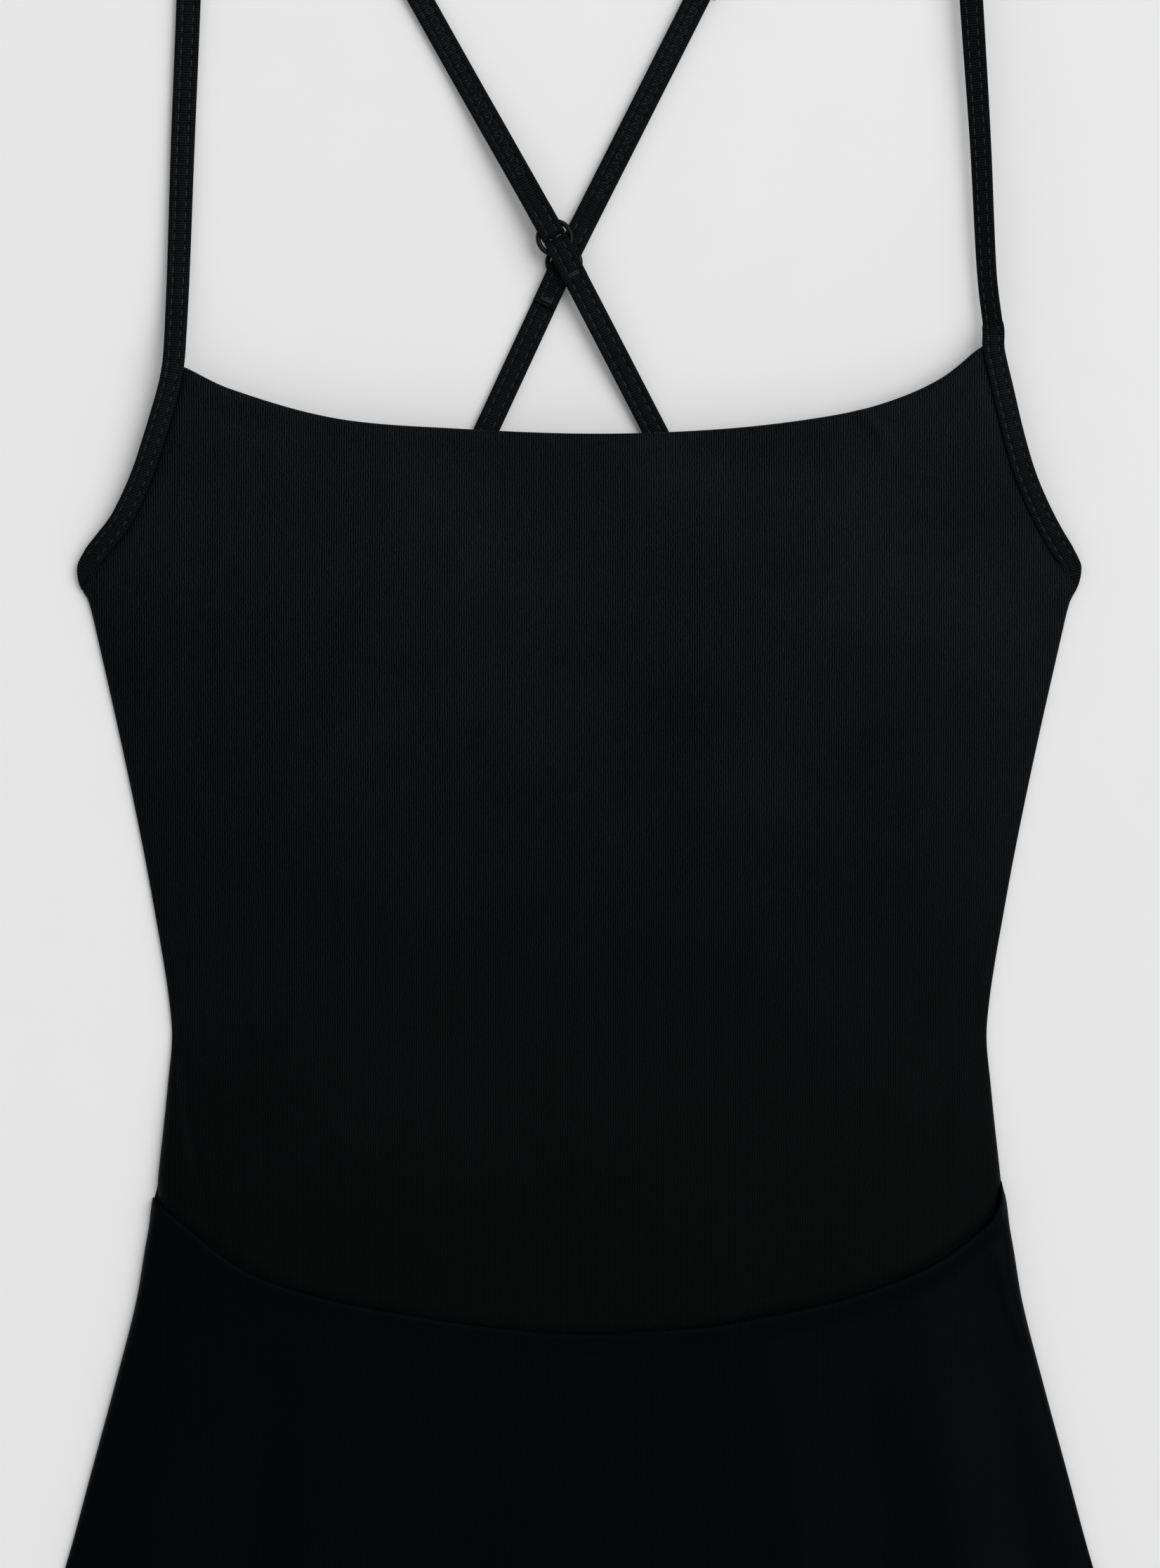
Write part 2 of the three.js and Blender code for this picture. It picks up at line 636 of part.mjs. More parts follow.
for (const side of sideNames) {
  const ring = ringPlace[side];
  const fold = shoulderFold[side];
  const attach = [attachAside[side], backEdge(attachAside[side]) - bindingWidth * 0.7];
  const low = ringHeight[side];
  const towards = (end) => {
    const length = Math.hypot(end[0] - ring[0], end[1] - ring[1]);
    return { length, x: (end[0] - ring[0]) / length, y: (end[1] - ring[1]) / length };
  };
  const up = towards(fold);
  const down = towards(attach);
  const along = (way, points) => points.map(([s, z]) => [ring[0] + way.x * s, ring[1] + way.y * s, z]);
  const across = (way) => new THREE.Vector3(way.y, -way.x, 0);
  const bend = bendAroundWire().map(([s, z]) => [s, low + z]);
  const openLeg = ringRadius + ringWire + gap;
  const gathered = (point) => {
    const away = Math.hypot(point.x - ring[0], point.y - ring[1]);
    const open = Math.min(1, Math.max(0, (away - openLeg) / (loopLand - openLeg)));
    return mix(loopWidth, strapWidth, open);
  };

  // Lower back strap: from the back edge to the ring, round its wire and sewn down on itself.
  const attachHeight = bindingThickness + gap + strapThickness / 2;
  const lowerRoute = along(down, [
    [down.length, attachHeight],
    [down.length * 0.7, attachHeight],
    [down.length * 0.4, attachHeight],
    [down.length * 0.2, mix(attachHeight, low - pairHalf, 0.75)],
    [loopLand, low - pairHalf],
    [openLeg, low - wrap],
    ...bend,
    [openLeg, low + wrap],
    [loopLand - 4, low + pairHalf + 0.1],
    [loopLand, low + pairHalf],
  ]);
  const lowerSide = across({ x: -down.x, y: -down.y });
  add(
    "back_strap_lower_" + side,
    strip({
      route: lowerRoute,
      width: strapWidth,
      thickness: strapThickness,
      spans: 2,
      sideAt: () => lowerSide.clone(),
      widthAt: gathered,
    }),
    elastic,
  );

  // Upper back strap: from the shoulder fold to the ring, round its wire and a little way back.
  const upperRoute = along(up, [
    [up.length - foldTuck + gap - endGap, lieHeight],
    [up.length * 0.7, lieHeight],
    [up.length * 0.45, lieHeight],
    [up.length * 0.27, lieHeight],
    [up.length * 0.15, mix(lieHeight, low - pairHalf, 0.6)],
    [loopLand, low - pairHalf],
    [openLeg, low - wrap],
    ...bend,
    [openLeg, low + wrap],
    [loopLand - 3, low + pairHalf + 0.1],
    [loopLand, low + pairHalf],
  ]);
  const upperSide = across({ x: -up.x, y: -up.y });
  add(
    "back_strap_upper_" + side,
    strip({
      route: upperRoute,
      width: strapWidth,
      thickness: strapThickness,
      spans: 2,
      sideAt: () => upperSide.clone(),
      widthAt: gathered,
    }),
    elastic,
  );

  // The strap's tail: over the upper strap to the slider, round its middle bar and back a little.
  const place = sliderPlace[side];
  const tailRest = lieHeight + strapThickness + gap;
  const barWrap = sliderMiddleBar + gap + strapThickness / 2;
  const barMiddle = tailRest + barWrap;
  const barBend = [];
  for (let i = 0; i <= 6; i++) {
    const turn = (Math.PI * i) / 6;
    barBend.push([place + barWrap * Math.sin(turn), barMiddle - barWrap * Math.cos(turn)]);
  }
  const tailRoute = along(up, [
    [loopLand + gap, low + pairHalf],
    [up.length * 0.15, mix(tailRest, low + pairHalf, 0.6)],
    [up.length * 0.27, tailRest],
    [mix(up.length * 0.27, place, 0.5), tailRest],
    [place - 3, tailRest],
    ...barBend,
    [place - 4, barMiddle + barWrap - 0.5],
    [place - 10, tailRest + strapThickness + gap],
  ]);
  add(
    "strap_tail_" + side,
    strip({
      route: tailRoute,
      width: strapWidth,
      thickness: strapThickness,
      spans: 2,
      sideAt: () => across(up),
    }),
    elastic,
  );

  // Front strap: from the corner of the neckline to the shoulder, where it folds under.
  const corner = armholeRoute(side, bindingWidth / 2).at(-1);
  const foldHeight = lieHeight + 2 * foldRadius;
  const start = [corner[0], corner[1] + gap * 2];
  const frontLength = Math.hypot(fold[0] - start[0], fold[1] - start[1]);
  const way = { x: (fold[0] - start[0]) / frontLength, y: (fold[1] - start[1]) / frontLength };
  const startHeight = frontHeight(...corner) + bodyCloth / 2;
  const frontRoute = [[...start, startHeight]];
  strapRise[side].forEach((height, i) => {
    const share = [0.12, 0.45, 0.75][i];
    const bow = Math.sin(Math.PI * share) * 2.5 * sideSign[side];
    frontRoute.push([mix(start[0], fold[0], share) + bow, mix(start[1], fold[1], share), height]);
  });
  frontRoute.push([fold[0] - way.x * 6, fold[1] - way.y * 6, foldHeight]);
  for (let i = 0; i <= 4; i++) {
    const turn = (Math.PI * i) / 4;
    const reach = foldRadius * Math.sin(turn);
    frontRoute.push([
      fold[0] + way.x * reach,
      fold[1] + way.y * reach,
      lieHeight + foldRadius + foldRadius * Math.cos(turn),
    ]);
  }
  const tuck = foldTuck - gap;
  frontRoute.push([fold[0] - up.x * tuck, fold[1] - up.y * tuck, lieHeight]);
  const frontSide = across(way);
  const foldedSide = across(up);
  add(
    "front_strap_" + side,
    strip({
      route: frontRoute,
      width: strapWidth,
      thickness: strapThickness,
      spans: 2,
      sideAt: (share) => {
        const folded = Math.min(1, Math.max(0, (share - 0.96) / 0.03));
        return frontSide.clone().lerp(foldedSide, folded);
      },
    }),
    elastic,
  );

  // Ring: a closed wire ring that lies flat in the two loops.
  const ringMesh = add("ring_" + side, new THREE.TorusGeometry(ringRadius, ringWire, 8, 28), enamel);
  ringMesh.position.set(ring[0], ring[1], low);

  // Slider: two rails, an end bar under the strap at each end and the tail's bar above it.
  const railInner = strapWidth / 2 + sliderSideGap;
  const half = sliderLength / 2;
  const endTop = lieHeight - strapThickness / 2 - gap;
  const endLow = endTop - sliderBar;
  const railTop = barMiddle + sliderMiddleBar;
  const outline = new THREE.Shape();
  outline.moveTo(-half, endLow);
  outline.lineTo(half, endLow);
  outline.lineTo(half, endTop);
  outline.lineTo(half / 3, railTop);
  outline.lineTo(-half / 3, railTop);
  outline.lineTo(-half, endTop);
  outline.closePath();
  const barSpan = 2 * railInner + sliderRail;
  const pieces = [];
  for (const sign of [-1, 1]) {
    const rail = new THREE.ExtrudeGeometry(outline, { depth: sliderRail, bevelEnabled: false });
    pieces.push(rail.translate(0, 0, sign > 0 ? railInner : -railInner - sliderRail));
    const bar = new THREE.BoxGeometry(sliderRail, sliderBar, barSpan);
    pieces.push(bar.translate(sign * (half - sliderRail / 2), endLow + sliderBar / 2, 0));
  }
  const middleBar = new THREE.CylinderGeometry(sliderMiddleBar, sliderMiddleBar, barSpan, 12);
  pieces.push(middleBar.rotateX(Math.PI / 2).translate(0, barMiddle, 0));
  const slider = add("slider_" + side, joined(pieces), enamel);
  // Its length runs up the strap and its height up from the table.
  slider.matrixAutoUpdate = false;
  slider.matrix.makeBasis(
    new THREE.Vector3(up.x, up.y, 0),
    new THREE.Vector3(0, 0, 1),
    new THREE.Vector3(up.y, -up.x, 0),
  );
  slider.matrix.setPosition(ring[0] + up.x * place, ring[1] + up.y * place, 0);
}

export default leotard;
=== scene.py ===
import math

import bpy
import numpy as np
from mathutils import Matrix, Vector


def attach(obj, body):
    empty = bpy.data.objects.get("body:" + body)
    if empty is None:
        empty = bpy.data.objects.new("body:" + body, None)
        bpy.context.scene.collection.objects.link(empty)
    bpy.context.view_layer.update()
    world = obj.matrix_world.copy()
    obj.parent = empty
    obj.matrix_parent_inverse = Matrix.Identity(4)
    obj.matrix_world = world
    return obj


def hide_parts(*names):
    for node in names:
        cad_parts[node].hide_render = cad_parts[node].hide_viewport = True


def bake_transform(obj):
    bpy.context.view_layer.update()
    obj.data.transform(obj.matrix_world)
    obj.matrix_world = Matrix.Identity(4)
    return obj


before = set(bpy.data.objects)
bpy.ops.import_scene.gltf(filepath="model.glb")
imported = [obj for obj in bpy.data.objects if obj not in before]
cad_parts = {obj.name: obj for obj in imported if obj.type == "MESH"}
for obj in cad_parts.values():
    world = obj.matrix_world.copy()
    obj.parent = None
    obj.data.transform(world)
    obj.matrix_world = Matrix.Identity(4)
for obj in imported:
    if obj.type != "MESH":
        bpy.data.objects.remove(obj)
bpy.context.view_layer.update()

MM = 0.001

# ---- Camera ------------------------------------------------------------------------------------
# It hangs straight above the laid-out garment, square to the table, and far enough away for
# the straps to keep their true widths.
view_centre = (0.25, 145.9)
view_height = 558.25
view_level = 6.0
lens_length, sensor_long_side = 100.0, 36.0
camera_data = bpy.data.cameras.new("camera_above")
camera_data.lens = lens_length
camera_data.sensor_width = sensor_long_side
camera_data.dof.use_dof = False
camera = bpy.data.objects.new("camera_above", camera_data)
camera.location = (
    view_centre[0] * MM,
    view_centre[1] * MM,
    (view_level + view_height * lens_length / sensor_long_side) * MM,
)
bpy.context.scene.collection.objects.link(camera)
bpy.context.scene.camera = camera

# ---- Table top and studio light ----------------------------------------------------------------
# A matt pale board, one large soft light from the right and a little from above, a small lamp near
# the straps, and an even glow from the room. Colours are shown as they are, with no film look.
bpy.context.scene.view_settings.view_transform = "Standard"


def dye(hex_code):
    """An sRGB hex colour as the linear colour that a shader takes."""
    parts = [int(hex_code[i : i + 2], 16) / 255 for i in (1, 3, 5)]
    return [p / 12.92 if p <= 0.04045 else ((p + 0.055) / 1.055) ** 2.4 for p in parts] + [1.0]


def add_node(tree, kind, settings=None, values=None, links=None):
    """One shader node with its settings, its own values and what feeds it."""
    made = tree.nodes.new(kind)
    for key, value in (settings or {}).items():
        setattr(made, key, value)
    for socket, value in (values or {}).items():
        made.inputs[socket].default_value = value
    for socket, source in (links or {}).items():
        tree.links.new(source, made.inputs[socket])
    return made


def start_material(name, values):
    """A new material with its shader's own values set; returns it with its tree and shader."""
    made = bpy.data.materials.new(name)
    made.use_nodes = True
    shader = made.node_tree.nodes["Principled BSDF"]
    for socket, value in values.items():
        shader.inputs[socket].default_value = value
    return made, made.node_tree, shader


# Matt painted board: an even pale grey with the faintest mottle of the roller.
board_size = 90.0
board, tree, shader = start_material("painted_board", {"Roughness": 0.95, "Specular IOR Level": 0.0})
place = add_node(tree, "ShaderNodeTexCoord")
mottle = add_node(
    tree, "ShaderNodeTexNoise", values={"Scale": 40.0, "Detail": 3.0}, links={"Vector": place.outputs["Object"]}
)
tone = add_node(tree, "ShaderNodeValToRGB", links={"Fac": mottle.outputs["Fac"]})
tone.color_ramp.elements[0].color = dye("#e6e6e6")
tone.color_ramp.elements[1].color = dye("#e8e8e8")
tree.links.new(tone.outputs["Color"], shader.inputs["Base Color"])

bpy.ops.object.select_all(action="DESELECT")
bpy.ops.mesh.primitive_plane_add(size=board_size, location=(0, 0.15, 0))
table_top = bpy.context.object
table_top.name = "table_top"
bpy.ops.object.transform_apply(location=True, rotation=True, scale=True)
table_top.data.materials.append(board)

light_bearing, light_height = math.radians(24), math.radians(52)
light_strength, light_spread = 1.55, math.radians(50)
room_strength = 0.52
towards_light = Vector(
    (
        math.cos(light_height) * math.cos(light_bearing),
        math.cos(light_height) * math.sin(light_bearing),
        math.sin(light_height),
    )
)
bpy.ops.object.light_add(type="SUN", location=towards_light * 2)
window_light = bpy.context.object
window_light.name = "soft_window"
window_light.data.energy = light_strength
window_light.data.angle = light_spread
window_light.rotation_euler = towards_light.to_track_quat("Z", "Y").to_euler()
lamp_place, lamp_aim = Vector((0.55, 0.85, 1.35)), Vector((0.08, 0.22, 0))
bpy.ops.object.light_add(type="AREA", location=lamp_place)
lamp_head = bpy.context.object
lamp_head.name = "near_lamp"
lamp_head.data.energy, lamp_head.data.size = 3.0, 0.7
lamp_head.rotation_euler = (lamp_place - lamp_aim).to_track_quat("Z", "Y").to_euler()
room = bpy.data.worlds.new("room_glow")
room.use_nodes = True
room.node_tree.nodes["Background"].inputs["Color"].default_value = (1, 1, 1, 1)
room.node_tree.nodes["Background"].inputs["Strength"].default_value = room_strength
bpy.context.scene.world = room

# ---- Front of the bodice -----------------------------------------------------------------------
# The outer front: one panel of matt nylon and elastane jersey, knitted with fine upright ribs
# called wales. Its top is turned over an elastic without a stitch showing, its sides roll round
# to the back, its armholes go into the binding and its foot into the waist seam.
body_cloth = 1.2
seam_half = 150.5
underarm = 225.0
binding_width = 8.0
tuck_under_binding = 2.0
SIDES = {"left": -1, "right": 1}


def line_through(*pairs):
    """A smooth line through [key, value] pairs with rising keys, level beyond its ends."""
    k, v = np.array(pairs, float).T
    slope = np.gradient(v, k)
    slope[1:-1] = (v[2:] - v[:-2]) / (k[2:] - k[:-2])

    def at(key):
        key = np.clip(key, k[0], k[-1])
        i = np.clip(np.searchsorted(k, key) - 1, 0, len(k) - 2)
        span = k[i + 1] - k[i]
        t = (key - k[i]) / span
        lift = t * (1 - t) * span * ((1 - t) * slope[i] - t * slope[i + 1])
        return v[i] + (v[i + 1] - v[i]) * t * t * (3 - 2 * t) + lift

    return at


def mix(start, end, share):
    return start + (end - start) * share


def eased(share):
    """From 0 to 1 with level ends."""
    t = np.clip(share, 0, 1)
    return t * t * (3 - 2 * t)


def rolled(distance, radius):
    """How high cloth stands at a distance inside a rolled edge: 0 at the edge, 1 past the roll."""
    return np.sqrt(1 - (1 - np.clip(distance / radius, 0, 1)) ** 2)


def nearness(x, y, line):
    """The distance from points to a line of [x, y] corners."""
    line = np.array(line, float)
    best = np.full(np.shape(x), 1e9)
    for (ax, ay), (bx, by) in zip(line[:-1], line[1:]):
        t = ((x - ax) * (bx - ax) + (y - ay) * (by - ay)) / ((bx - ax) ** 2 + (by - ay) ** 2)
        t = np.clip(t, 0, 1)
        best = np.minimum(best, np.hypot(x - ax - t * (bx - ax), y - ay - t * (by - ay)))
    return best


body_half = line_through(
    [5, 150.5], [38, 147], [60, 145.6], [104.6, 152.4], [150.8, 161.5], [205, 173.6], [210, 174.9],
    [213, 176], [216, 177.6],
)
armhole_edge = {
    "left": line_through(
        [217.5, 184.5], [225, 179.5], [232.5, 174.2], [240, 167.8], [255, 160.2], [270, 155], [290, 149.2],
        [300, 147.8],
    ),
    "right": line_through(
        [217.5, 184.5], [225, 179.5], [232.5, 174.8], [240, 170.2], [255, 163.2], [270, 158.5], [290, 153.7],
        [300, 151.2],
    ),
}
neck_corner = {"left": (-139.5, 294.2), "right": (143.2, 301.7)}


def beside_armhole(side, inset, steps=24):
    """Points along an armhole, from the underarm up, moved inwards from its outer edge."""
    half = armhole_edge[side]
    y = np.linspace(underarm, neck_corner[side][1] + 5, steps + 1)
    slope = half(y + 0.5) - half(y - 0.5)
    run = np.hypot(slope, 1)
    return np.stack([SIDES[side] * (half(y) - inset / run), y + inset * slope / run], 1)


front_edge = {}
for side in SIDES:
    inner = np.abs(beside_armhole(side, binding_width - tuck_under_binding))
    body_part = [[y, body_half(y)] for y in np.linspace(5, 216, 60)]
    front_edge[side] = line_through(*body_part, *inner[:, ::-1])

seam_front = line_through(
    [-151, -1.5], [-148, -4.2], [-136, -13], [-124, -21.5], [-112, -28.4], [-88, -36.2], [-64, -41.2],
    [-28, -46.8], [0, -49], [20, -48.3], [44, -46.2], [68, -41.8], [92, -36.2], [116, -27.5], [127.6, -21.6],
    [138.7, -14], [143.5, -10.3], [146.4, -7.2], [148.8, -2], [150.5, 4],
)
neckline = line_through(
    [0, 294.2], [0.065, 285.8], [0.203, 275], [0.35, 271.3], [0.511, 269.5], [0.66, 271.1],
    [0.775, 275], [0.855, 280], [0.935, 289.2], [1, 301.7],
)
side_rise = line_through(
    [-300, 1.3], [-170, 1.5], [-60, 3.9], [10, 4], [50, 2], [225, 1.9], [300.7, 2.6]
)
dome_rise = line_through(
    [-300, 8], [-200, 9.5], [-100, 10.5], [-40, 9.5], [60, 9.5], [140, 11.9], [215, 12.2], [300, 10]
)


skirt_half = line_through(
    [-276, 223], [-205, 204.6], [-130, 182.4], [-100, 174.3], [-70, 166.2], [-40, 158.5], [-20, 155.1],
    [-12, 153.7], [-6, 153], [-2, 152.4], [2, 151.3], [6, 150.6],
)


def cup_lift(x, y):
    return 5 * np.exp(-(((np.abs(x) - 62) / 40) ** 2) - ((y - 206) / 36.8) ** 2)


def front_height(x, y):
    """Underside of the outer cloth of the front, above the table."""
    half = np.where(y > 5, body_half(y), skirt_half(y))
    arch = 1 - np.minimum(1, np.abs(x) / half) ** 4
    return side_rise(y) + dome_rise(y) * arch + cup_lift(x, y)


# Soft relief of the laid cloth: [line of the fold, width, height], below zero for a valley.
bodice_folds = [
    ([(99.5, 277.5), (108, 268.5)], 1.4, 1.2),
    ([(-136, 281), (-112, 274.5), (-88, 271)], 5.0, -0.7),
    ([(170, 216), (150, 180), (143, 140)], 7.0, 0.9),
    ([(-168, 212), (-150, 178), (-146, 150)], 8.0, 0.6),
    ([(118, 252), (150, 236)], 10.0, 0.5),
    ([(-145, 61), (-141, 42), (-136.5, 12.5), (-133, 0)], 1.0, -0.55),
    ([(-148, 58), (-145, 40), (-141, 12)], 3.0, 0.45),
    ([(139, -4), (134, 20), (138, 48)], 4.0, 0.5),
]


def bodice_relief(x, y):
    lift = 0.28 * np.sin(x / 29 + 1.3) * np.sin(y / 43 + 0.5) + 0.16 * np.sin(x / 13 + y / 31)
    for line, width, height in bodice_folds:
        lift = lift + height * np.exp(-((nearness(x, y, line) / width) ** 2))
    return lift


def graded(share, count, low, high, first, last):
    """Places rows between low and high, with given steps near either end."""
    i = share * count
    n, m = len(first) - 1, len(last) - 1
    middle = mix(low + first[-1], high - last[-1], (i - n) / (count - n - m))
    start = low + np.interp(i, range(n + 1), first)
    end = high - np.interp(count - i, range(m + 1), last)
    return np.where(i <= n, start, np.where(i >= count - m, end, middle))


def lay_cloth(name, columns, rows, place, thickness, material, rim=0.25):
    """A sheet of cloth: a grid carried to its place in millimetres, with its thickness and a
    softened rim. Its map holds the cloth's own millimetres, across and along the wales."""
    bpy.ops.object.select_all(action="DESELECT")
    bpy.ops.mesh.primitive_grid_add(x_subdivisions=columns, y_subdivisions=rows, size=1)
    made = bpy.context.object
    made.name = made.data.name = name
    mesh = made.data
    co = np.zeros(len(mesh.vertices) * 3)
    mesh.vertices.foreach_get("co", co)
    across, along = (co.reshape(-1, 3)[:, :2] + 0.5).T
    x, y, z = place(np.round(across * columns) / columns, np.round(along * rows) / rows)
    mesh.vertices.foreach_set("co", (np.stack([x, y, z], 1) * MM).ravel())
    corner = np.zeros(len(mesh.loops), int)
    mesh.loops.foreach_get("vertex_index", corner)
    mesh.uv_layers[0].name = "cloth"
    mesh.uv_layers[0].data.foreach_set("uv", np.stack([x[corner], y[corner]], 1).ravel())
    solid = made.modifiers.new("thickness", "SOLIDIFY")
    solid.thickness, solid.offset = thickness * MM, 0
    bpy.ops.object.modifier_apply(modifier=solid.name)
    if rim:
        soft = made.modifiers.new("rim", "BEVEL")
        soft.width, soft.segments, soft.limit_method, soft.angle_limit = rim * MM, 2, "ANGLE", math.radians(50)
        bpy.ops.object.modifier_apply(modifier=soft.name)
    bpy.ops.object.mode_set(mode="EDIT")
    bpy.ops.mesh.select_all(action="SELECT")
    bpy.ops.mesh.normals_make_consistent(inside=False)
    bpy.ops.object.mode_set(mode="OBJECT")
    bpy.ops.object.shade_smooth()
    mesh.materials.append(material)
    return made


def knit_material(name, ground, ridge, pitch, shader_values, relief=0.10, streaks=0.35, painted_light_rise=None):
    """A knit from its ground and ridge colours and the millimetres from one wale to the next. Given a rise (from, to,
    least share),
    the ridges are painted paler upwards: painted light, standing in for the lamps lighting the top of the cloth more
    than its foot."""
    made, tree, shader = start_material(name, shader_values)
    cloth = add_node(tree, "ShaderNodeUVMap", {"uv_map": "cloth"})
    wales = add_node(
        tree,
        "ShaderNodeTexWave",
        {"wave_type": "BANDS", "bands_direction": "X", "wave_profile": "SIN"},
        {"Scale": math.pi / 10 / pitch, "Distortion": 3.2, "Detail": 2.0, "Detail Scale": 2.0},
        {"Vector": cloth.outputs["UV"]},
    )
    stretched = add_node(
        tree, "ShaderNodeMapping", values={"Scale": (1.6, 0.16, 1.0)}, links={"Vector": cloth.outputs["UV"]}
    )
    yarn = add_node(
        tree, "ShaderNodeTexNoise", values={"Scale": 1.0, "Detail": 4.0}, links={"Vector": stretched.outputs["Vector"]}
    )
    patches = add_node(
        tree, "ShaderNodeTexNoise", values={"Scale": 0.022, "Detail": 2.0}, links={"Vector": cloth.outputs["UV"]}
    )
    speckle = add_node(
        tree, "ShaderNodeTexNoise", values={"Scale": 2.0, "Detail": 2.0}, links={"Vector": cloth.outputs["UV"]}
    )
    height = add_node(
        tree,
        "ShaderNodeMath",
        {"operation": "MULTIPLY_ADD"},
        {1: streaks},
        {0: yarn.outputs["Fac"], 2: wales.outputs["Fac"]},
    )
    blotch = add_node(
        tree,
        "ShaderNodeMath",
        {"operation": "MULTIPLY_ADD"},
        {1: 0.5},
        {0: patches.outputs["Fac"], 2: height.outputs["Value"]},
    )
    grain = add_node(
        tree,
        "ShaderNodeMath",
        {"operation": "MULTIPLY_ADD"},
        {1: 1.1},
        {0: speckle.outputs["Fac"], 2: blotch.outputs["Value"]},
    )
    tone = add_node(
        tree, "ShaderNodeMapRange", values={"From Min": 1.25, "From Max": 2.3}, links={"Value": grain.outputs["Value"]}
    )
    share = tone.outputs["Result"]
    # painted light: the ridge colour is scaled down smoothly towards the foot of the cloth, where less light falls
    if painted_light_rise:
        low, high, least = painted_light_rise
        spread = add_node(tree, "ShaderNodeSeparateXYZ", links={"Vector": cloth.outputs["UV"]})
        painted_light_ramp = add_node(
            tree,
            "ShaderNodeMapRange",
            {"interpolation_type": "SMOOTHSTEP"},
            {"From Min": low, "From Max": high, "To Min": least},
            {"Value": spread.outputs["Y"]},
        )
        paled = add_node(
            tree, "ShaderNodeMath", {"operation": "MULTIPLY"}, links={0: share, 1: painted_light_ramp.outputs["Result"]}
        )
        share = paled.outputs["Value"]
    colour = add_node(
        tree, "ShaderNodeMix", {"data_type": "RGBA"}, {6: dye(ground), 7: dye(ridge)}, {0: share}
    )
    tree.links.new(colour.outputs[2], shader.inputs["Base Color"])
    bump = add_node(
        tree,
        "ShaderNodeBump",
        values={"Strength": 0.6, "Distance": relief * MM},
        links={"Height": height.outputs["Value"]},
    )
    tree.links.new(bump.outputs["Normal"], shader.inputs["Normal"])
    return made


# Nylon and elastane jersey, dyed black: the wales give fine upright lines, and the flat filament
# yarn a dull satin. The wales are drawn 0.85 mm apart, wider than the cloth's 0.62 mm, so that they show.
# The ridges are painted paler towards the neckline: painted light, for the lamps lighting the top of the bodice more
# than its waist.
bodice_knit = knit_material(
    "matt_nylon_jersey",
    "#010202",
    "#1a1d20",
    0.85,
    {"Roughness": 0.58, "Specular IOR Level": 0.03, "Sheen Weight": 0.004, "Sheen Roughness": 0.45},
    relief=0.12,
    streaks=0.5,
    painted_light_rise=(-40, 280, 0.15),
)

roll = 3.0
roll_steps = [roll * (1 - math.cos(math.radians(a))) for a in range(0, 91, 15)]
seam_steps = [0, 0.8, 1.6, 2.4, 3.2, 4.2, 5.6]
neck_steps = [0, 0.12, 0.4, 0.9, 1.6, 2.8, 4.2, 5.4, 6.2, 7.0, 8.2]
side_seam_height = 1.1
tuck_under_skirt = 2.4
bodice_columns, bodice_rows = 168, 160


def place_front_bodice(across, along):
    reach = seam_half - body_cloth / 2
    x = graded(across, bodice_columns, -reach, reach, roll_steps, roll_steps)
    low = seam_front(x) - tuck_under_skirt
    high = neckline((x + reach) / (2 * reach))
    y = graded(along, bodice_rows, low, high, seam_steps, neck_steps)
    left, right = body_cloth / 2 - front_edge["left"](y), front_edge["right"](y) - body_cloth / 2
    x = graded(across, bodice_columns, left, right, roll_steps, roll_steps)
    z = front_height(x, y) + body_cloth / 2 + bodice_relief(x, y)
    # the turned neckline stands a little proud of the cloth below it
    from_neck = high - y
    z += 0.35 * (1 - eased((from_neck - 4.5) / 4.5))
    # beside the binding and above the waist seam the cloth is drawn down into the stitching
    for side in SIDES:
        inner = [(SIDES[side] * 177, 217.2), *beside_armhole(side, binding_width)]
        z -= 1.2 * np.exp(-((nearness(x, y, inner) / 1.1) ** 2)) * mix(0.6, 1, eased((y - 217) / 6))
    z -= 1.1 * (1 - eased((y - low - 1.0) / 4.5))
    # sides and neckline roll round to the back
    foot = mix(side_seam_height, z - 0.4, eased((y - 211) / 9))
    from_side = np.minimum(x - left, right - x)
    z = mix(foot, z, rolled(from_side, roll))
    return x, y, z - 1.3 * (1 - rolled(from_neck, 1.6))


front_bodice = lay_cloth(
    "front_bodice_cloth", bodice_columns, bodice_rows, place_front_bodice, body_cloth, bodice_knit
)
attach(front_bodice, "garment")
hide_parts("front_bodice")

# ---- Back of the bodice ------------------------------------------------------------------------
# The outer back, one panel of the same jersey, seamed to the front at the sides. It lies flat on
# the table, and is cut low and open, with its top edge in the binding.
back_edge_right = line_through(
    [-82, 172.2], [0, 165], [82, 172.2], [125, 184.2], [155, 201], [179.5, 224], [189.5, 233]
)


def back_edge(x):
    return back_edge_right(np.abs(x))


def seam_back(x):
    return mix(-14, 5, (x / seam_half) ** 2)


def flat_panel(low, high, half, middle, edge=0.0):
    """Where a flat panel lies: between two edges, within its half width, with turned-up sides."""

    def place(across, along):
        share = mix(across, 0.5 - 0.5 * np.cos(np.pi * across), 0.5)
        bottom, top = low(mix(-1, 1, share)), high(mix(-1, 1, share))
        y = mix(bottom, top, along)
        x = mix(-half(y), half(y), share)
        return x, y, middle(x, y) + edge * (1 - rolled(half(y) - np.abs(x), 3.0))

    return place


back_bodice = lay_cloth(
    "back_bodice_cloth",
    96,
    72,
    flat_panel(
        lambda s: seam_back(s * seam_half) + 0.15,
        lambda s: back_edge(s * 172) - binding_width + tuck_under_binding,
        lambda y: body_half(y) - 0.7,
        lambda x, y: 0.6 + 0 * x,
        0.2,
    ),
    body_cloth - 0.1,
    bodice_knit,
)
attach(back_bodice, "garment")
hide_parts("back_bodice")

# ---- Skirt -------------------------------------------------------------------------------------
# Two flared panels of a smoother, denser jersey, seamed at the sides. The front one is set into
# the waist with its top edge standing as a lip, and falls in broad soft folds to a stitched hem.
skirt_cloth = 1.0
hem_side, hem_centre = -276, -300
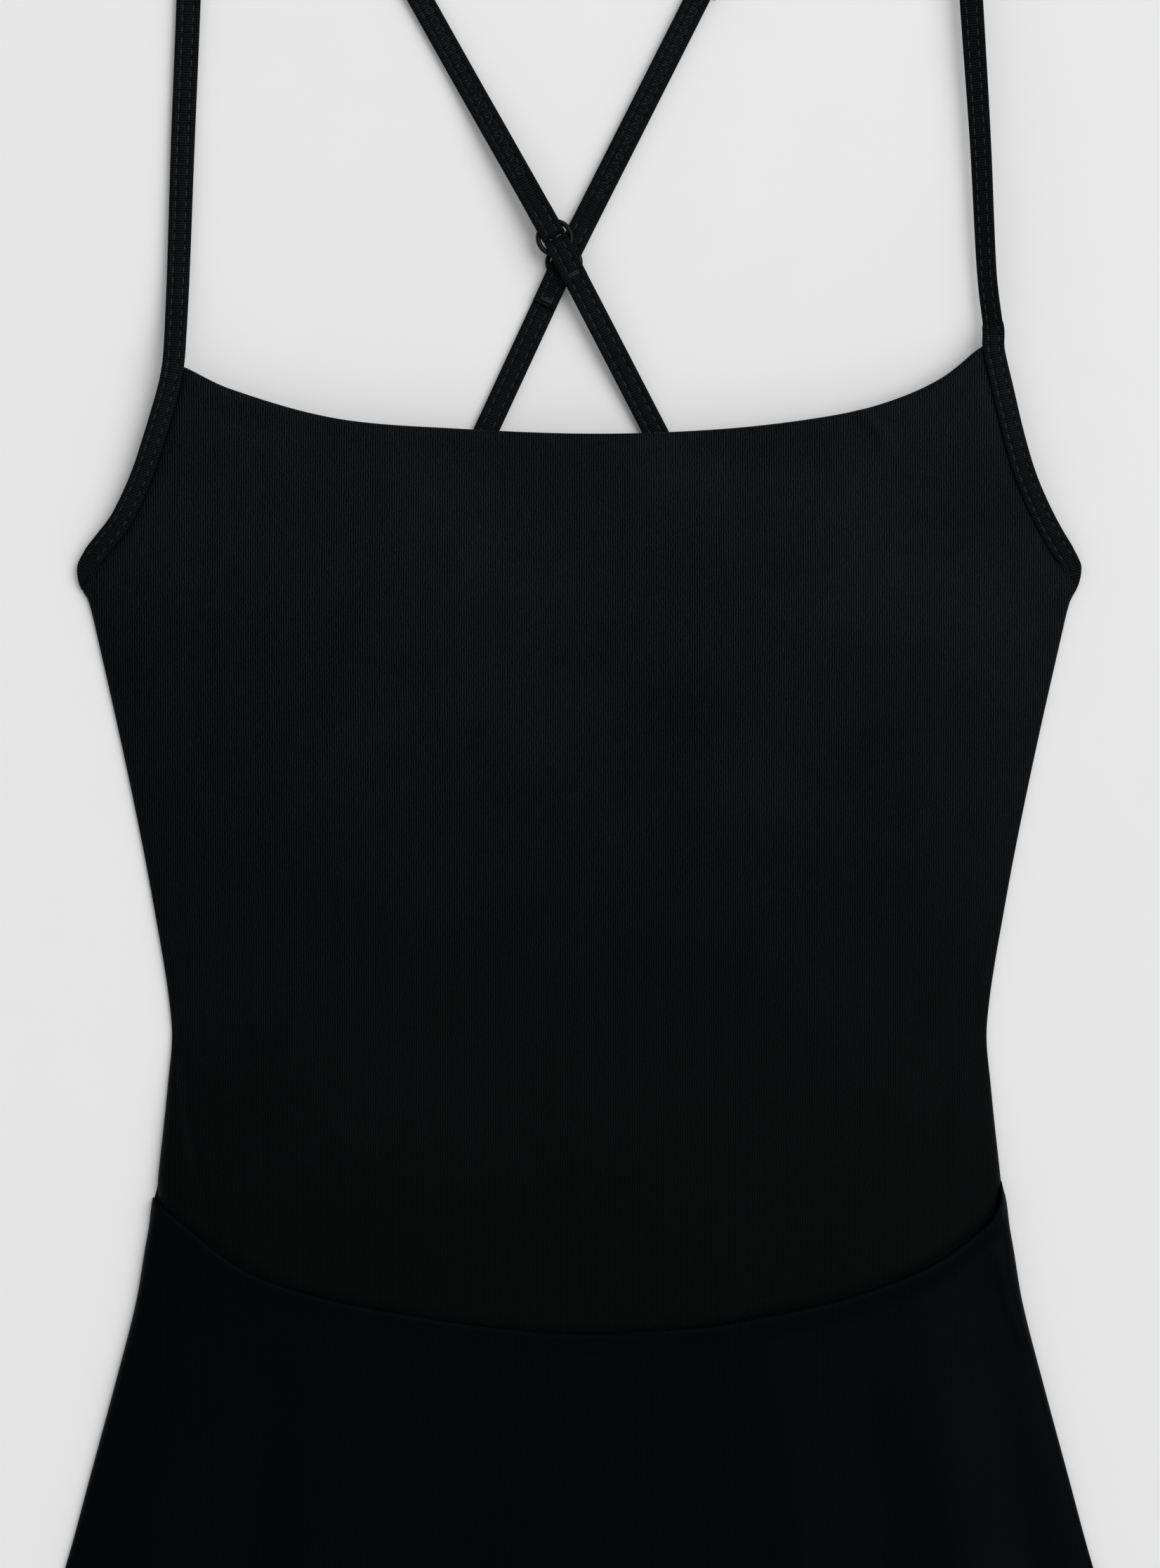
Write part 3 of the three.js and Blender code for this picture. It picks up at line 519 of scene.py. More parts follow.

# Denser jersey, dyed black: the wales hardly show. Its colours are darker than the bodice's: painted shade, for the
# light falling off towards the hem.
skirt_knit = knit_material(
    "dense_smooth_jersey",
    "#010203",
    "#04070a",
    0.80,
    {"Roughness": 0.5, "Specular IOR Level": 0.021, "Sheen Weight": 0.002, "Sheen Roughness": 0.4},
    relief=0.04,
    streaks=0.25,
)

# [x at the waist, x at the hem, half width at the hem, height at the hem]
skirt_folds = [
    (-128, -186, 17, 1.8),
    (-104, -140, 16, -1.2),
    (-80, -112, 20, 1.4),
    (-40, -62, 22, -1.0),
    (-8, -14, 24, 1.6),
    (30, 42, 20, -1.3),
    (62, 96, 20, 2.6),
    (92, 132, 15, -1.6),
    (116, 160, 16, 2.0),
    (136, 192, 11, -1.3),
]
skirt_creases = [
    ([(151, -22), (153, -38), (158, -52)], 1.6, 0.7),
    ([(146, -12), (150, -30)], 3.0, 0.6),
    ([(-110, -86), (-113, -102)], 1.6, -0.5),
]


def hem(x):
    return mix(hem_centre, hem_side, (x / 223.0) ** 2)


def lip_height(x):
    """How far the skirt's top edge stands above the bodice: more towards the right."""
    return mix(0.45, 1.35, eased((x + 60) / 200))


def skirt_relief(x, y):
    fall = np.clip(-y / 290, 0, 1)
    lift = 0.2 * np.sin(x / 23 + y / 57) * eased(-y / 60)
    for waist_x, hem_x, half, height in skirt_folds:
        middle = mix(waist_x, hem_x, fall)
        lift = lift + height * eased(fall * 1.7) * np.exp(-(((x - middle) / (half * (0.5 + 0.5 * fall))) ** 2))
    for line, width, height in skirt_creases:
        lift = lift + height * np.exp(-((nearness(x, y, line) / width) ** 2))
    return lift


skirt_columns, skirt_rows = 168, 120
lip_steps = [0, 0.1, 0.35, 0.8, 1.5, 2.4, 3.6, 5.2]
hem_steps = [0, 0.3, 0.9, 2.0, 4.0, 6.0, 8.0, 10.0, 12.0]


def skirt_middle(x, y):
    """Middle of the front skirt's cloth, away from its edges."""
    return front_height(x, y) + skirt_cloth / 2 + skirt_relief(x, y)


def place_skirt_front(across, along):
    reach = 152.3 - skirt_cloth / 2
    x = graded(across, skirt_columns, -reach, reach, roll_steps, roll_steps)
    high = seam_front(np.clip(x * seam_half / reach, -seam_half, seam_half))
    low = hem(x * skirt_half(hem_side) / reach)
    y = graded(along, skirt_rows, low, high, hem_steps, lip_steps)
    half = skirt_half(y) - skirt_cloth / 2
    x = graded(across, skirt_columns, -half, half, roll_steps, roll_steps)
    from_seam = high - y
    z = skirt_middle(x, y) + (0.3 + lip_height(x)) * (1 - eased(from_seam / 8.0))
    from_hem = y - low
    z += 0.35 * (1 - eased((from_hem - 9.5) / 2.0))
    from_side = half - np.abs(x)
    z = mix(0.9, z, rolled(from_side, roll))
    return x, y, z - 0.9 * (1 - rolled(from_seam, 1.3))


skirt_front = lay_cloth(
    "skirt_front_cloth", skirt_columns, skirt_rows, place_skirt_front, skirt_cloth, skirt_knit
)
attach(skirt_front, "garment")
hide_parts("skirt_front")

skirt_back = lay_cloth(
    "skirt_back_cloth",
    96,
    72,
    flat_panel(
        lambda s: hem(s * 223),
        lambda s: seam_back(s * seam_half) - 0.15,
        lambda y: skirt_half(y) - 0.6,
        lambda x, y: 0.5 + 0 * x,
        0.2,
    ),
    skirt_cloth - 0.1,
    skirt_knit,
)
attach(skirt_back, "garment")
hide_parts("skirt_back")

# ---- Armhole bindings and front straps ---------------------------------------------------------
# One long strip of the jersey, folded in on both edges and sewn with two needles. It wraps the
# armhole's raw edge from the underarm up, and runs on past the neckline as the front strap, over
# the shoulder fold.
strap_width = 8.75
row_spacing = 3.8
stitch_pitch = 3.9
rest_height = 1.7
shoulder_fold = {"left": (-134.5, 565.0), "right": (129.0, 598.0)}

# The same jersey cut along the strip: its wales run across, and the folded layers pack them.
binding_knit = knit_material(
    "folded_jersey_binding",
    "#020303",
    "#181b1d",
    0.9,
    {"Roughness": 0.6, "Specular IOR Level": 0.035, "Sheen Weight": 0.004, "Sheen Roughness": 0.45},
    relief=0.10,
)
# Spun polyester thread: round, black and a little brighter than the cloth.
thread, tree, shader = start_material("polyester_thread", {"Roughness": 0.45, "Specular IOR Level": 0.25})
place = add_node(tree, "ShaderNodeTexCoord")
twist = add_node(
    tree, "ShaderNodeTexNoise", values={"Scale": 1500.0, "Detail": 2.0}, links={"Vector": place.outputs["Object"]}
)
tone = add_node(tree, "ShaderNodeValToRGB", links={"Fac": twist.outputs["Fac"]})
tone.color_ramp.elements[0].color = dye("#101315")
tone.color_ramp.elements[1].color = dye("#25292c")
tree.links.new(tone.outputs["Color"], shader.inputs["Base Color"])


def smooth_route(points, step=0.65):
    """Even steps along a smooth curve through points; numbers after x, y, z go along evenly."""
    p = np.array(points, float)
    c = np.vstack([2 * p[0, :3] - p[1, :3], p[:, :3], 2 * p[-1, :3] - p[-2, :3]])
    span = np.linalg.norm(np.diff(c, axis=0), axis=1) ** 0.5
    t = np.linspace(0, 1, 24, endpoint=False)[:, None]
    fine = []
    for i in range(1, len(c) - 2):
        a, b, d, e = c[i - 1 : i + 3]
        s0, s1, s2 = span[i - 1 : i + 2]
        leaving = ((b - a) / s0 - (d - a) / (s0 + s1) + (d - b) / s1) * s1
        arriving = ((d - b) / s1 - (e - b) / (s1 + s2) + (e - d) / s2) * s1
        fine.append(
            b * (2 * t**3 - 3 * t**2 + 1)
            + leaving * (t**3 - 2 * t**2 + t)
            + d * (3 * t**2 - 2 * t**3)
            + arriving * (t**3 - t**2)
        )
    fine = np.vstack(fine + [p[-1:, :3]])
    run = np.concatenate([[0], np.cumsum(np.linalg.norm(np.diff(fine, axis=0), axis=1))])
    s = np.linspace(0, run[-1], math.ceil(run[-1] / step) + 1)
    centre = np.stack([np.interp(s, run, fine[:, k]) for k in range(3)], 1)
    extras = [np.interp(s, run[::24], p[:, k]) for k in range(3, p.shape[1])]
    return s, centre, extras


def strip_frame(s, centre, side=None, tilt=0.0):
    """The directions along, across and out of a strip at each step."""
    along = np.gradient(centre, s, axis=0)
    along /= np.linalg.norm(along, axis=1)[:, None]
    across = np.cross(along, [0, 0, 1]) if side is None else np.broadcast_to(side, centre.shape).astype(float)
    out = np.cross(across, along)
    out /= np.linalg.norm(out, axis=1)[:, None]
    across = np.cross(along, out)
    tilt = np.broadcast_to(tilt, s.shape)[:, None]
    return along, across * np.cos(tilt) + out * np.sin(tilt), out * np.cos(tilt) - across * np.sin(tilt)


# Half a strip's section, as [share of the flat half width, edge round, height], face and back alike.
face_shares = [0, 0.16, 0.32, 0.4, 0.46, 0.52, 0.62, 0.8, 1]
edge_turns = [math.radians(a) for a in (60, 25, -25, -60)]
section = [(-a, 0, 1) for a in reversed(face_shares[1:])] + [(a, 0, 1) for a in face_shares]
section += [(1, math.cos(a), math.sin(a)) for a in edge_turns]
section += [(a, 0, -1) for a in reversed(face_shares)] + [(-a, 0, -1) for a in face_shares[1:]]
section += [(-1, -math.cos(a), -math.sin(a)) for a in edge_turns]
section = np.array(section)


def sewn_relief(share, s, half_width):
    """Rise of the strip's face: rolled edges, a soft crown, and two ditches drawn in by the thread."""
    row = row_spacing / 2 / half_width
    from_row = (np.abs(share) - row) / 0.1
    needle = 0.6 + 0.4 * np.cos(2 * np.pi * s / stitch_pitch)
    pucker = 0.05 * np.sin(2 * np.pi * s / stitch_pitch + 1.5 * share) * np.abs(share)
    edge = 0.12 * np.exp(-(((np.abs(share) - 0.86) / 0.14) ** 2))
    return edge + pucker - 0.38 * np.exp(-(from_row**2)) * needle


def sweep_strip(name, s, centre, frame_of, half_width, half_thick, material, sewn=True):
    """A closed strip of cloth along a route, with its own map: across and along, in millimetres."""
    along, across, out = frame_of
    bpy.ops.object.select_all(action="DESELECT")
    bpy.ops.mesh.primitive_grid_add(x_subdivisions=len(section), y_subdivisions=len(s) - 1, size=1)
    made = bpy.context.object
    made.name = made.data.name = name
    mesh = made.data
    co = np.zeros(len(mesh.vertices) * 3)
    mesh.vertices.foreach_get("co", co)
    co = co.reshape(-1, 3)
    j = np.round((co[:, 0] + 0.5) * len(section)).astype(int)
    i = np.round((co[:, 1] + 0.5) * (len(s) - 1)).astype(int)
    share, edge, face = section[j % len(section)].T
    w, h = np.broadcast_to(half_width, s.shape)[i], np.broadcast_to(half_thick, s.shape)[i]
    sideways = share * (w - h) + edge * h
    relief = sewn_relief(share, s[i], w) if sewn else 0.05 * np.abs(share)
    upwards = face * h + np.sign(face) * (edge == 0) * relief
    spot = centre[i] + across[i] * sideways[:, None] + out[i] * upwards[:, None]
    mesh.vertices.foreach_set("co", (spot * MM).ravel())
    corner = np.zeros(len(mesh.loops), int)
    mesh.loops.foreach_get("vertex_index", corner)
    mesh.uv_layers[0].name = "cloth"
    mesh.uv_layers[0].data.foreach_set("uv", np.stack([s[i][corner], j[corner] * 0.7], 1).ravel())
    bpy.ops.object.mode_set(mode="EDIT")
    bpy.ops.mesh.select_all(action="SELECT")
    bpy.ops.mesh.remove_doubles(threshold=0.2e-6)
    bpy.ops.mesh.fill_holes(sides=0)
    bpy.ops.mesh.select_all(action="SELECT")
    bpy.ops.mesh.normals_make_consistent(inside=False)
    bpy.ops.object.mode_set(mode="OBJECT")
    bpy.ops.object.shade_smooth()
    mesh.materials.append(material)
    return made


def lay_threads(name, middle, along, out, length, thick, material, sag=0.25):
    """Short lengths of thread, each a drawn-out bead whose ends dip into the cloth."""
    bpy.ops.object.select_all(action="DESELECT")
    bpy.ops.mesh.primitive_uv_sphere_add(segments=6, ring_count=4, radius=1)
    made = bpy.context.object
    bead = np.array([v.co for v in made.data.vertices])
    faces = [list(f.vertices) for f in made.data.polygons]
    across = np.cross(along, out)
    spots = (
        middle[:, None]
        + across[:, None] * (bead[None, :, :1] * thick / 2)
        + along[:, None] * (bead[None, :, 2:] * length / 2)
        + out[:, None] * (bead[None, :, 1:2] * thick / 2 - sag * bead[None, :, 2:] ** 2)
    )
    count = len(bead)
    mesh = bpy.data.meshes.new(name)
    bead_faces = [[v + k * count for v in f] for k in range(len(middle)) for f in faces]
    mesh.from_pydata((spots.reshape(-1, 3) * MM).tolist(), [], bead_faces)
    spare = made.data
    made.data = mesh
    bpy.data.meshes.remove(spare)
    made.name = name
    bpy.ops.object.mode_set(mode="EDIT")
    bpy.ops.mesh.select_all(action="SELECT")
    bpy.ops.mesh.normals_make_consistent(inside=False)
    bpy.ops.object.mode_set(mode="OBJECT")
    bpy.ops.object.shade_smooth()
    mesh.materials.append(material)
    return made


def sew_rows(name, s, centre, frame_of, half_thick, first, last, faces=(1,), looped=False):
    """Two rows of stitches along a strip, between two distances along it, on the given faces. Where
    the seam's reverse shows, looped lays the looper thread to and fro between the rows."""
    marks = np.arange(math.ceil(first / stitch_pitch), math.floor(last / stitch_pitch)) * stitch_pitch
    marks = marks + stitch_pitch / 2
    middle, along, across, out = (
        np.stack([np.interp(marks, s, v[:, k]) for k in range(3)], 1) for v in (centre, *frame_of)
    )
    lift = np.interp(marks, s, np.broadcast_to(half_thick, s.shape))[:, None] - 0.06
    spots = [middle + across * row * row_spacing / 2 + out * face * lift for face in faces for row in (-1, 1)]
    outs = [out * face for face in faces for row in (-1, 1)]
    ways = [along] * len(spots)
    for lean in (-1, 1) if looped else ():
        wander = np.sin(marks * 7.3 + lean)[:, None]
        spots.append(middle + along * (lean * stitch_pitch / 4 + 0.5 * wander) + out * (lift + 0.03))
        outs.append(out)
        ways.append(along * (0.5 + 0.35 * wander) + across * lean * 1.1)
    thick = 0.22 if looped else 0.36
    return lay_threads(name, np.vstack(spots), np.vstack(ways), np.vstack(outs), 3.3, thick, thread)


# Front straps from the neckline's corner up: [x, y, height, half width, tilt in degrees].
front_strap_way = {
    "left": [
        (-143.7, 305, 7.6, 4.0, 0), (-143.0, 325, 4.6, 4.1, 0), (-141.4, 375, 3.1, 4.3, 0),
        (-139.4, 425, 2.9, 4.375, 0), (-137.2, 490, 3.0, 4.375, 0), (-134.9, 552, 3.9, 4.375, 0),
    ],
    "right": [
        (146.9, 310, 8.4, 4.0, 36), (145.1, 325, 8.2, 4.2, 42), (142.5, 375, 8.8, 4.3, 36),
        (139.3, 425, 8.8, 4.375, 24), (134.3, 510, 7.4, 4.375, 10), (129.9, 584, 4.8, 4.375, 0),
    ],
}
underarm_tip = {
    "left": [(-177.2, 215.2, 1.6, 0.5, 0), (-177.5, 218.5, 2.2, 1.4, 0)],
    "right": [(176.8, 215.0, 1.6, 0.5, 0), (177.2, 218.3, 2.2, 1.4, 0)],
}
tip_widths = [(221, 2.7), (223, 3.3), (226, 3.8), (229, binding_width / 2)]
binding_half_thick = 0.85
for side, sign in SIDES.items():
    hole = beside_armhole(side, binding_width / 2, 14)
    way = list(underarm_tip[side])
    for x, y in hole:
        level = float(max(front_height(x, y), 2.6)) + 0.85 - 0.9 * (1 - eased((y - 219) / 9))
        way.append((x, y, level, np.interp(y, *zip(*tip_widths)), 0))
    way += front_strap_way[side]
    fold = np.array(shoulder_fold[side])
    last = np.array(front_strap_way[side][-1][:2])
    ahead = (fold - last) / np.linalg.norm(fold - last)
    back = np.array([(-8.75, 340.25), (-5.5, 332.0)][side == "right"]) - fold
    back /= np.linalg.norm(back)
    way.append((*(fold - ahead * 5), 4.72, strap_width / 2, 0))
    for turn in np.radians([0, 45, 90, 135, 180]):
        way.append((*(fold + ahead * 1.5 * math.sin(turn)), 3.2 + 1.5 * math.cos(turn), strap_width / 2, 0))
    way.append((*(fold + back * 1.9), rest_height, strap_width / 2, 0))
    s, centre, (half_width, tilt) = smooth_route(way)
    # across stays level; past the fold it is the back strap's own
    along = np.gradient(centre, s, axis=0)
    flat = along[:, :2] / np.linalg.norm(along[:, :2], axis=1)[:, None]
    over = np.argmax(centre[:, 1]) - 2
    flat[over:] = flat[over - 6]
    across = np.stack([flat[:, 1], -flat[:, 0], 0 * s], 1)
    frame_of = strip_frame(s, centre, across, np.radians(tilt) * sign)
    half_thick = mix(binding_half_thick, 0.55, eased((centre[:, 1] - 296) / 20))
    half_thick = np.minimum(half_thick, half_width * 0.7)
    strap = sweep_strip(f"binding_and_front_strap_{side}", s, centre, frame_of, half_width, half_thick, binding_knit)
    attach(strap, "garment")
    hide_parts(f"armhole_binding_{side}", f"front_strap_{side}")
    stitches = sew_rows(f"binding_stitches_{side}", s, centre, frame_of, half_thick, 9, s[over] - 3)
    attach(stitches, "garment")

# ---- Back edge binding -------------------------------------------------------------------------
# The same folded and two-needle sewn strip, along the low back edge from one underarm to the other.
# It wraps the raw edge of the back, and the feet of the back straps are caught in it.
def beside_edge(edge, x, inset):
    """Points at x along an edge, moved down from it and square to it."""
    slope = edge(x + 0.5) - edge(x - 0.5)
    run = np.hypot(1, slope)
    return x + inset * slope / run, edge(x) - inset / run


x, y = beside_edge(back_edge, np.linspace(-170, 170, 41), binding_width / 2)
half_width = np.interp(np.abs(x), [164, 173], [binding_width / 2, 1.6])
s, centre, (half_width,) = smooth_route(np.stack([x, y, 0 * x + 0.85, half_width], 1))
frame_of = strip_frame(s, centre)
back_binding = sweep_strip("back_edge_strip", s, centre, frame_of, half_width, 0.75, binding_knit)
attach(back_binding, "garment")
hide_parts("back_edge_binding")
stitches = sew_rows("back_edge_stitches", s, centre, frame_of, 0.75, 8, s[-1] - 8)
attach(stitches, "garment")

# ---- Back straps -------------------------------------------------------------------------------
# Folded and sewn like the binding. Each lower one is sewn under the back edge, passes through its
# ring and is stitched down on itself. Each upper one comes from the shoulder fold, passes through
# the same ring and runs back on top of itself as a loose tail to the slider.
ring_radius, ring_wire = 5.85, 0.9
ring_place = {"left": (-8.75, 340.25), "right": (-5.5, 332.0)}
ring_level = {"left": 7.1, "right": 2.4}
lower_end = {"left": (82.0, 166.6), "right": (-82.0, 166.6)}
slider_place = {"left": 160.0, "right": 114.4}
loop_reach, wrap, open_leg, loop_land = 3.2, 1.7, 7.05, 17.0
pair_half, tail_level = 0.65, 3.0


def bar_tack(name, middle, way, width, body):
    """A dense little row of stitches across a strip, which holds two layers together."""
    across = np.array([way[1], -way[0], 0])
    along = np.array([way[0], way[1], 0])
    count = 5
    steps = np.linspace(-0.6, 0.6, count)
    spots = np.array(middle) + steps[:, None] * along + (np.arange(count) % 2 - 0.5)[:, None] * 0.3 * across
    tack = lay_threads(
        name, spots, np.tile(across, (count, 1)), np.tile([0.0, 0, 1], (count, 1)), width, 0.26, thread, sag=0.3
    )
    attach(tack, body)
    return tack


def from_ring(side, end):
    """How far a point is from a ring, and in which direction."""
    away = np.array(end) - ring_place[side]
    return np.hypot(*away), away / np.hypot(*away)


def route_along(side, way, points):
    """Points given as distance from the ring and height, as a route."""
    return [(*(ring_place[side] + way * reach), z) for reach, z in points]


for side in SIDES:
    ring, low = np.array(ring_place[side]), ring_level[side]
    bend = [(loop_reach - 2.7 * math.sin(a), low - wrap * math.cos(a)) for a in np.radians(range(0, 181, 30))]

    down_length, down = from_ring(side, lower_end[side])
    way = route_along(
        side,
        down,
        [
            (down_length, 2.4), (down_length * 0.7, 2.4), (down_length * 0.4, 2.4),
            (down_length * 0.2, mix(2.4, low - pair_half, 0.75)),
            (loop_land, low - pair_half), (open_leg, low - wrap),
            *bend,
            (open_leg, low + wrap), (loop_land - 4, low + pair_half + 0.1), (loop_land, low + pair_half),
        ],
    )
    s, centre, _ = smooth_route(way, 0.5)
    frame_of = strip_frame(s, centre, (-down[1], down[0], 0))
    lower = sweep_strip(f"lower_back_strap_{side}", s, centre, frame_of, strap_width / 2, 0.5, binding_knit)
    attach(lower, "garment")
    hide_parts(f"back_strap_lower_{side}")
    stitches = sew_rows(f"lower_strap_stitches_{side}", s, centre, frame_of, 0.5, 3, s[-1] - 1, (1, -1))
    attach(stitches, "garment")
    spot = (*(ring + down * (loop_land - 2.4)), low + pair_half + 0.48)
    bar_tack(f"loop_tack_{side}", spot, down, 6.0, "garment")
    spot = (*(ring + down * (down_length - 3)), 2.95)
    bar_tack(f"back_edge_tack_{side}", spot, down, 6.5, "garment")

    up_length, up = from_ring(side, shoulder_fold[side])
    way = route_along(
        side,
        up,
        [
            (up_length - 1.95, rest_height), (up_length * 0.7, rest_height), (up_length * 0.45, rest_height),
            (up_length * 0.283, rest_height), (up_length * 0.27, rest_height + 0.05),
            (up_length * 0.15, mix(rest_height, low - pair_half, 0.6)),
            (loop_land, low - pair_half), (open_leg, low - wrap),
            *bend,
            (open_leg, low + wrap), (loop_land - 3, low + pair_half + 0.1), (loop_land, low + pair_half),
        ],
    )
    s, centre, _ = smooth_route(way, 0.5)
    frame_of = strip_frame(s, centre, (-up[1], up[0], 0))
    upper = sweep_strip(f"upper_back_strap_{side}", s, centre, frame_of, strap_width / 2, 0.5, binding_knit)
    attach(upper, "garment")
    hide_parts(f"back_strap_upper_{side}")
    stitches = sew_rows(f"upper_strap_stitches_{side}", s, centre, frame_of, 0.5, 3, s[-1] - 1, (1, -1))
    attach(stitches, "garment")

    at = slider_place[side]
    bar_level, bar_wrap = tail_level + 1.3, 1.3
    half_turn = np.radians(range(0, 181, 30))
    way = route_along(
        side,
        up,
        [
            (loop_land - 0.05, low + pair_half), (up_length * 0.15, mix(tail_level, low + pair_half, 0.6)),
            (up_length * 0.27, tail_level), (mix(up_length * 0.27, at, 0.5), tail_level), (at - 3, tail_level),
            *[(at + bar_wrap * math.sin(a), bar_level - bar_wrap * math.cos(a)) for a in half_turn],
            (at - 4, bar_level + bar_wrap - 0.4), (at - 6.6, bar_level + bar_wrap - 1.0),
        ],
    )
    s, centre, _ = smooth_route(way, 0.5)
    frame_of = strip_frame(s, centre, (up[1], -up[0], 0))
    tail = sweep_strip(f"loose_tail_{side}", s, centre, frame_of, strap_width / 2, 0.5, binding_knit)
    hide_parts(f"strap_tail_{side}")
    stitches = sew_rows(f"tail_stitches_{side}", s, centre, frame_of, 0.5, 4, s[-1] - 2, (1, -1), looped=True)
    for piece in (tail, stitches):
        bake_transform(piece)

# ---- Rings -------------------------------------------------------------------------------------
# Steel wire closed by a butt weld and dipped in black nylon: round in section, glossy, with a
# slightly thicker place at the weld, which stays turned under the lower strap's loop.
# Black nylon dip: a tough, shiny skin with the faint orange peel of a fused powder.
ring_coat, tree, shader = start_material(
    "black_nylon_dip", {"Roughness": 0.28, "Specular IOR Level": 0.1, "Coat Weight": 0.02, "Coat Roughness": 0.1}
)
place = add_node(tree, "ShaderNodeTexCoord")
peel = add_node(
    tree, "ShaderNodeTexNoise", values={"Scale": 900.0, "Detail": 2.0}, links={"Vector": place.outputs["Object"]}
)
tone = add_node(tree, "ShaderNodeValToRGB", links={"Fac": peel.outputs["Fac"]})
tone.color_ramp.elements[0].color = dye("#050506")
tone.color_ramp.elements[1].color = dye("#08080a")
tree.links.new(tone.outputs["Color"], shader.inputs["Base Color"])
bump = add_node(
    tree, "ShaderNodeBump", values={"Strength": 0.25, "Distance": 0.02 * MM}, links={"Height": peel.outputs["Fac"]}
)
tree.links.new(bump.outputs["Normal"], shader.inputs["Normal"])

for side in SIDES:
    ring, low = np.array(ring_place[side]), ring_level[side]
    bpy.ops.object.select_all(action="DESELECT")
    bpy.ops.mesh.primitive_torus_add(
        location=(*(ring * MM), low * MM),
        major_radius=ring_radius * MM,
        minor_radius=ring_wire * MM,
        major_segments=96,
        minor_segments=20,
    )
    wire_ring = bpy.context.object
    wire_ring.name = f"wire_ring_{side}"
    bpy.ops.object.transform_apply(location=True, rotation=True, scale=True)
    weld = ring + np.array([0, -ring_radius])
    bpy.ops.object.mode_set(mode="EDIT")
    bpy.ops.mesh.select_all(action="DESELECT")
    bpy.ops.object.mode_set(mode="OBJECT")
    for v in wire_ring.data.vertices:
        v.select = math.hypot(v.co.x / MM - weld[0], v.co.y / MM - weld[1]) < 1.05
    bpy.ops.object.mode_set(mode="EDIT")
    bpy.ops.transform.resize(value=(1.0, 1.12, 1.12), center_override=(*(weld * MM), low * MM))
    bpy.ops.object.mode_set(mode="OBJECT")
    bpy.ops.object.shade_smooth()
    wire_ring.data.materials.append(ring_coat)
    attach(wire_ring, f"ring_{side}")
    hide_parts(f"ring_{side}")

# ---- Sliders -----------------------------------------------------------------------------------
# Cast zinc adjusters with the same black dip: two rails, a bar under the strap at either end, and a
# raised middle bar that the tail goes round. The dip leaves every edge soft. The right one has
# slipped a little further up its strap.
for side in SIDES:
    slider_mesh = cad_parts[f"slider_{side}"].data.copy()
    slider = bpy.data.objects.new(f"strap_slider_{side}", slider_mesh)
    bpy.context.scene.collection.objects.link(slider)
    bpy.ops.object.select_all(action="DESELECT")
    slider.select_set(True)
    bpy.context.view_layer.objects.active = slider
    slider_mesh.materials.clear()
    slider_mesh.materials.append(ring_coat)
    bpy.ops.object.mode_set(mode="EDIT")
    bpy.ops.mesh.select_all(action="SELECT")
    bpy.ops.mesh.remove_doubles(threshold=1e-6)
    bpy.ops.mesh.dissolve_limited(angle_limit=math.radians(1))
    if side == "right":
        _, up = from_ring(side, shoulder_fold[side])
        bpy.ops.transform.translate(value=(*(up * 2.4 * MM), 0))
    bpy.ops.object.mode_set(mode="OBJECT")
    soft = slider.modifiers.new("soft_edges", "BEVEL")
    soft.width, soft.segments, soft.limit_method, soft.angle_limit = 0.16 * MM, 3, "ANGLE", math.radians(35)
    bpy.ops.object.modifier_apply(modifier=soft.name)
    bpy.ops.object.shade_smooth_by_angle(angle=math.radians(40))
    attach(slider, f"slider_{side}")
    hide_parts(f"slider_{side}")

# ---- Built-in bra ------------------------------------------------------------------------------
# A thin soft lining behind the front and the back, two moulded foam cups laid in loose between
# lining and front, and an elastic band sewn along the lining's foot.
lining_cloth = 0.6
cup_rim = 0.8
bra_foot, band_height = 130.0, 135.0
# Power mesh lining, dyed black: thinner and duller than the outer jersey.
lining_knit = knit_material(
    "soft_power_mesh", "#08090a", "#17181a", 1.0, {"Roughness": 0.85, "Specular IOR Level": 0.15}, relief=0.05
)
# Knitted elastic: rubber cores show as close ribs across the band.
band_elastic = knit_material(
    "ribbed_elastic", "#0a0b0c", "#1b1c1f", 1.2, {"Roughness": 0.75, "Specular IOR Level": 0.2}, relief=0.2
)


def lining_top(x, y):
    return front_height(x, y) - cup_lift(x, y) - cup_rim - 1.2


def place_lining(across, along):
    high = neckline(mix(0.04, 0.96, across)) - 7.2
    y = mix(bra_foot, high, along)
    x = mix(-front_edge["left"](y), front_edge["right"](y), mix(0.05, 0.95, across))
    return x, y, lining_top(x, y) - lining_cloth / 2


lining_front = lay_cloth("bra_lining_front_cloth", 64, 36, place_lining, lining_cloth, lining_knit, rim=0)
lining_back = lay_cloth(
    "bra_lining_back_cloth",
    64,
    16,
    flat_panel(
        lambda s: bra_foot + 0 * s,
        lambda s: back_edge(s * 150) - 10.0,
        lambda y: body_half(y) * 0.9,
        lambda x, y: 1.8 + 0 * x,
    ),
    lining_cloth,
    lining_knit,
    rim=0,
)
for piece, node in ((lining_front, "bra_lining_front"), (lining_back, "bra_lining_back")):
    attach(piece, "garment")
    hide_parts(node)

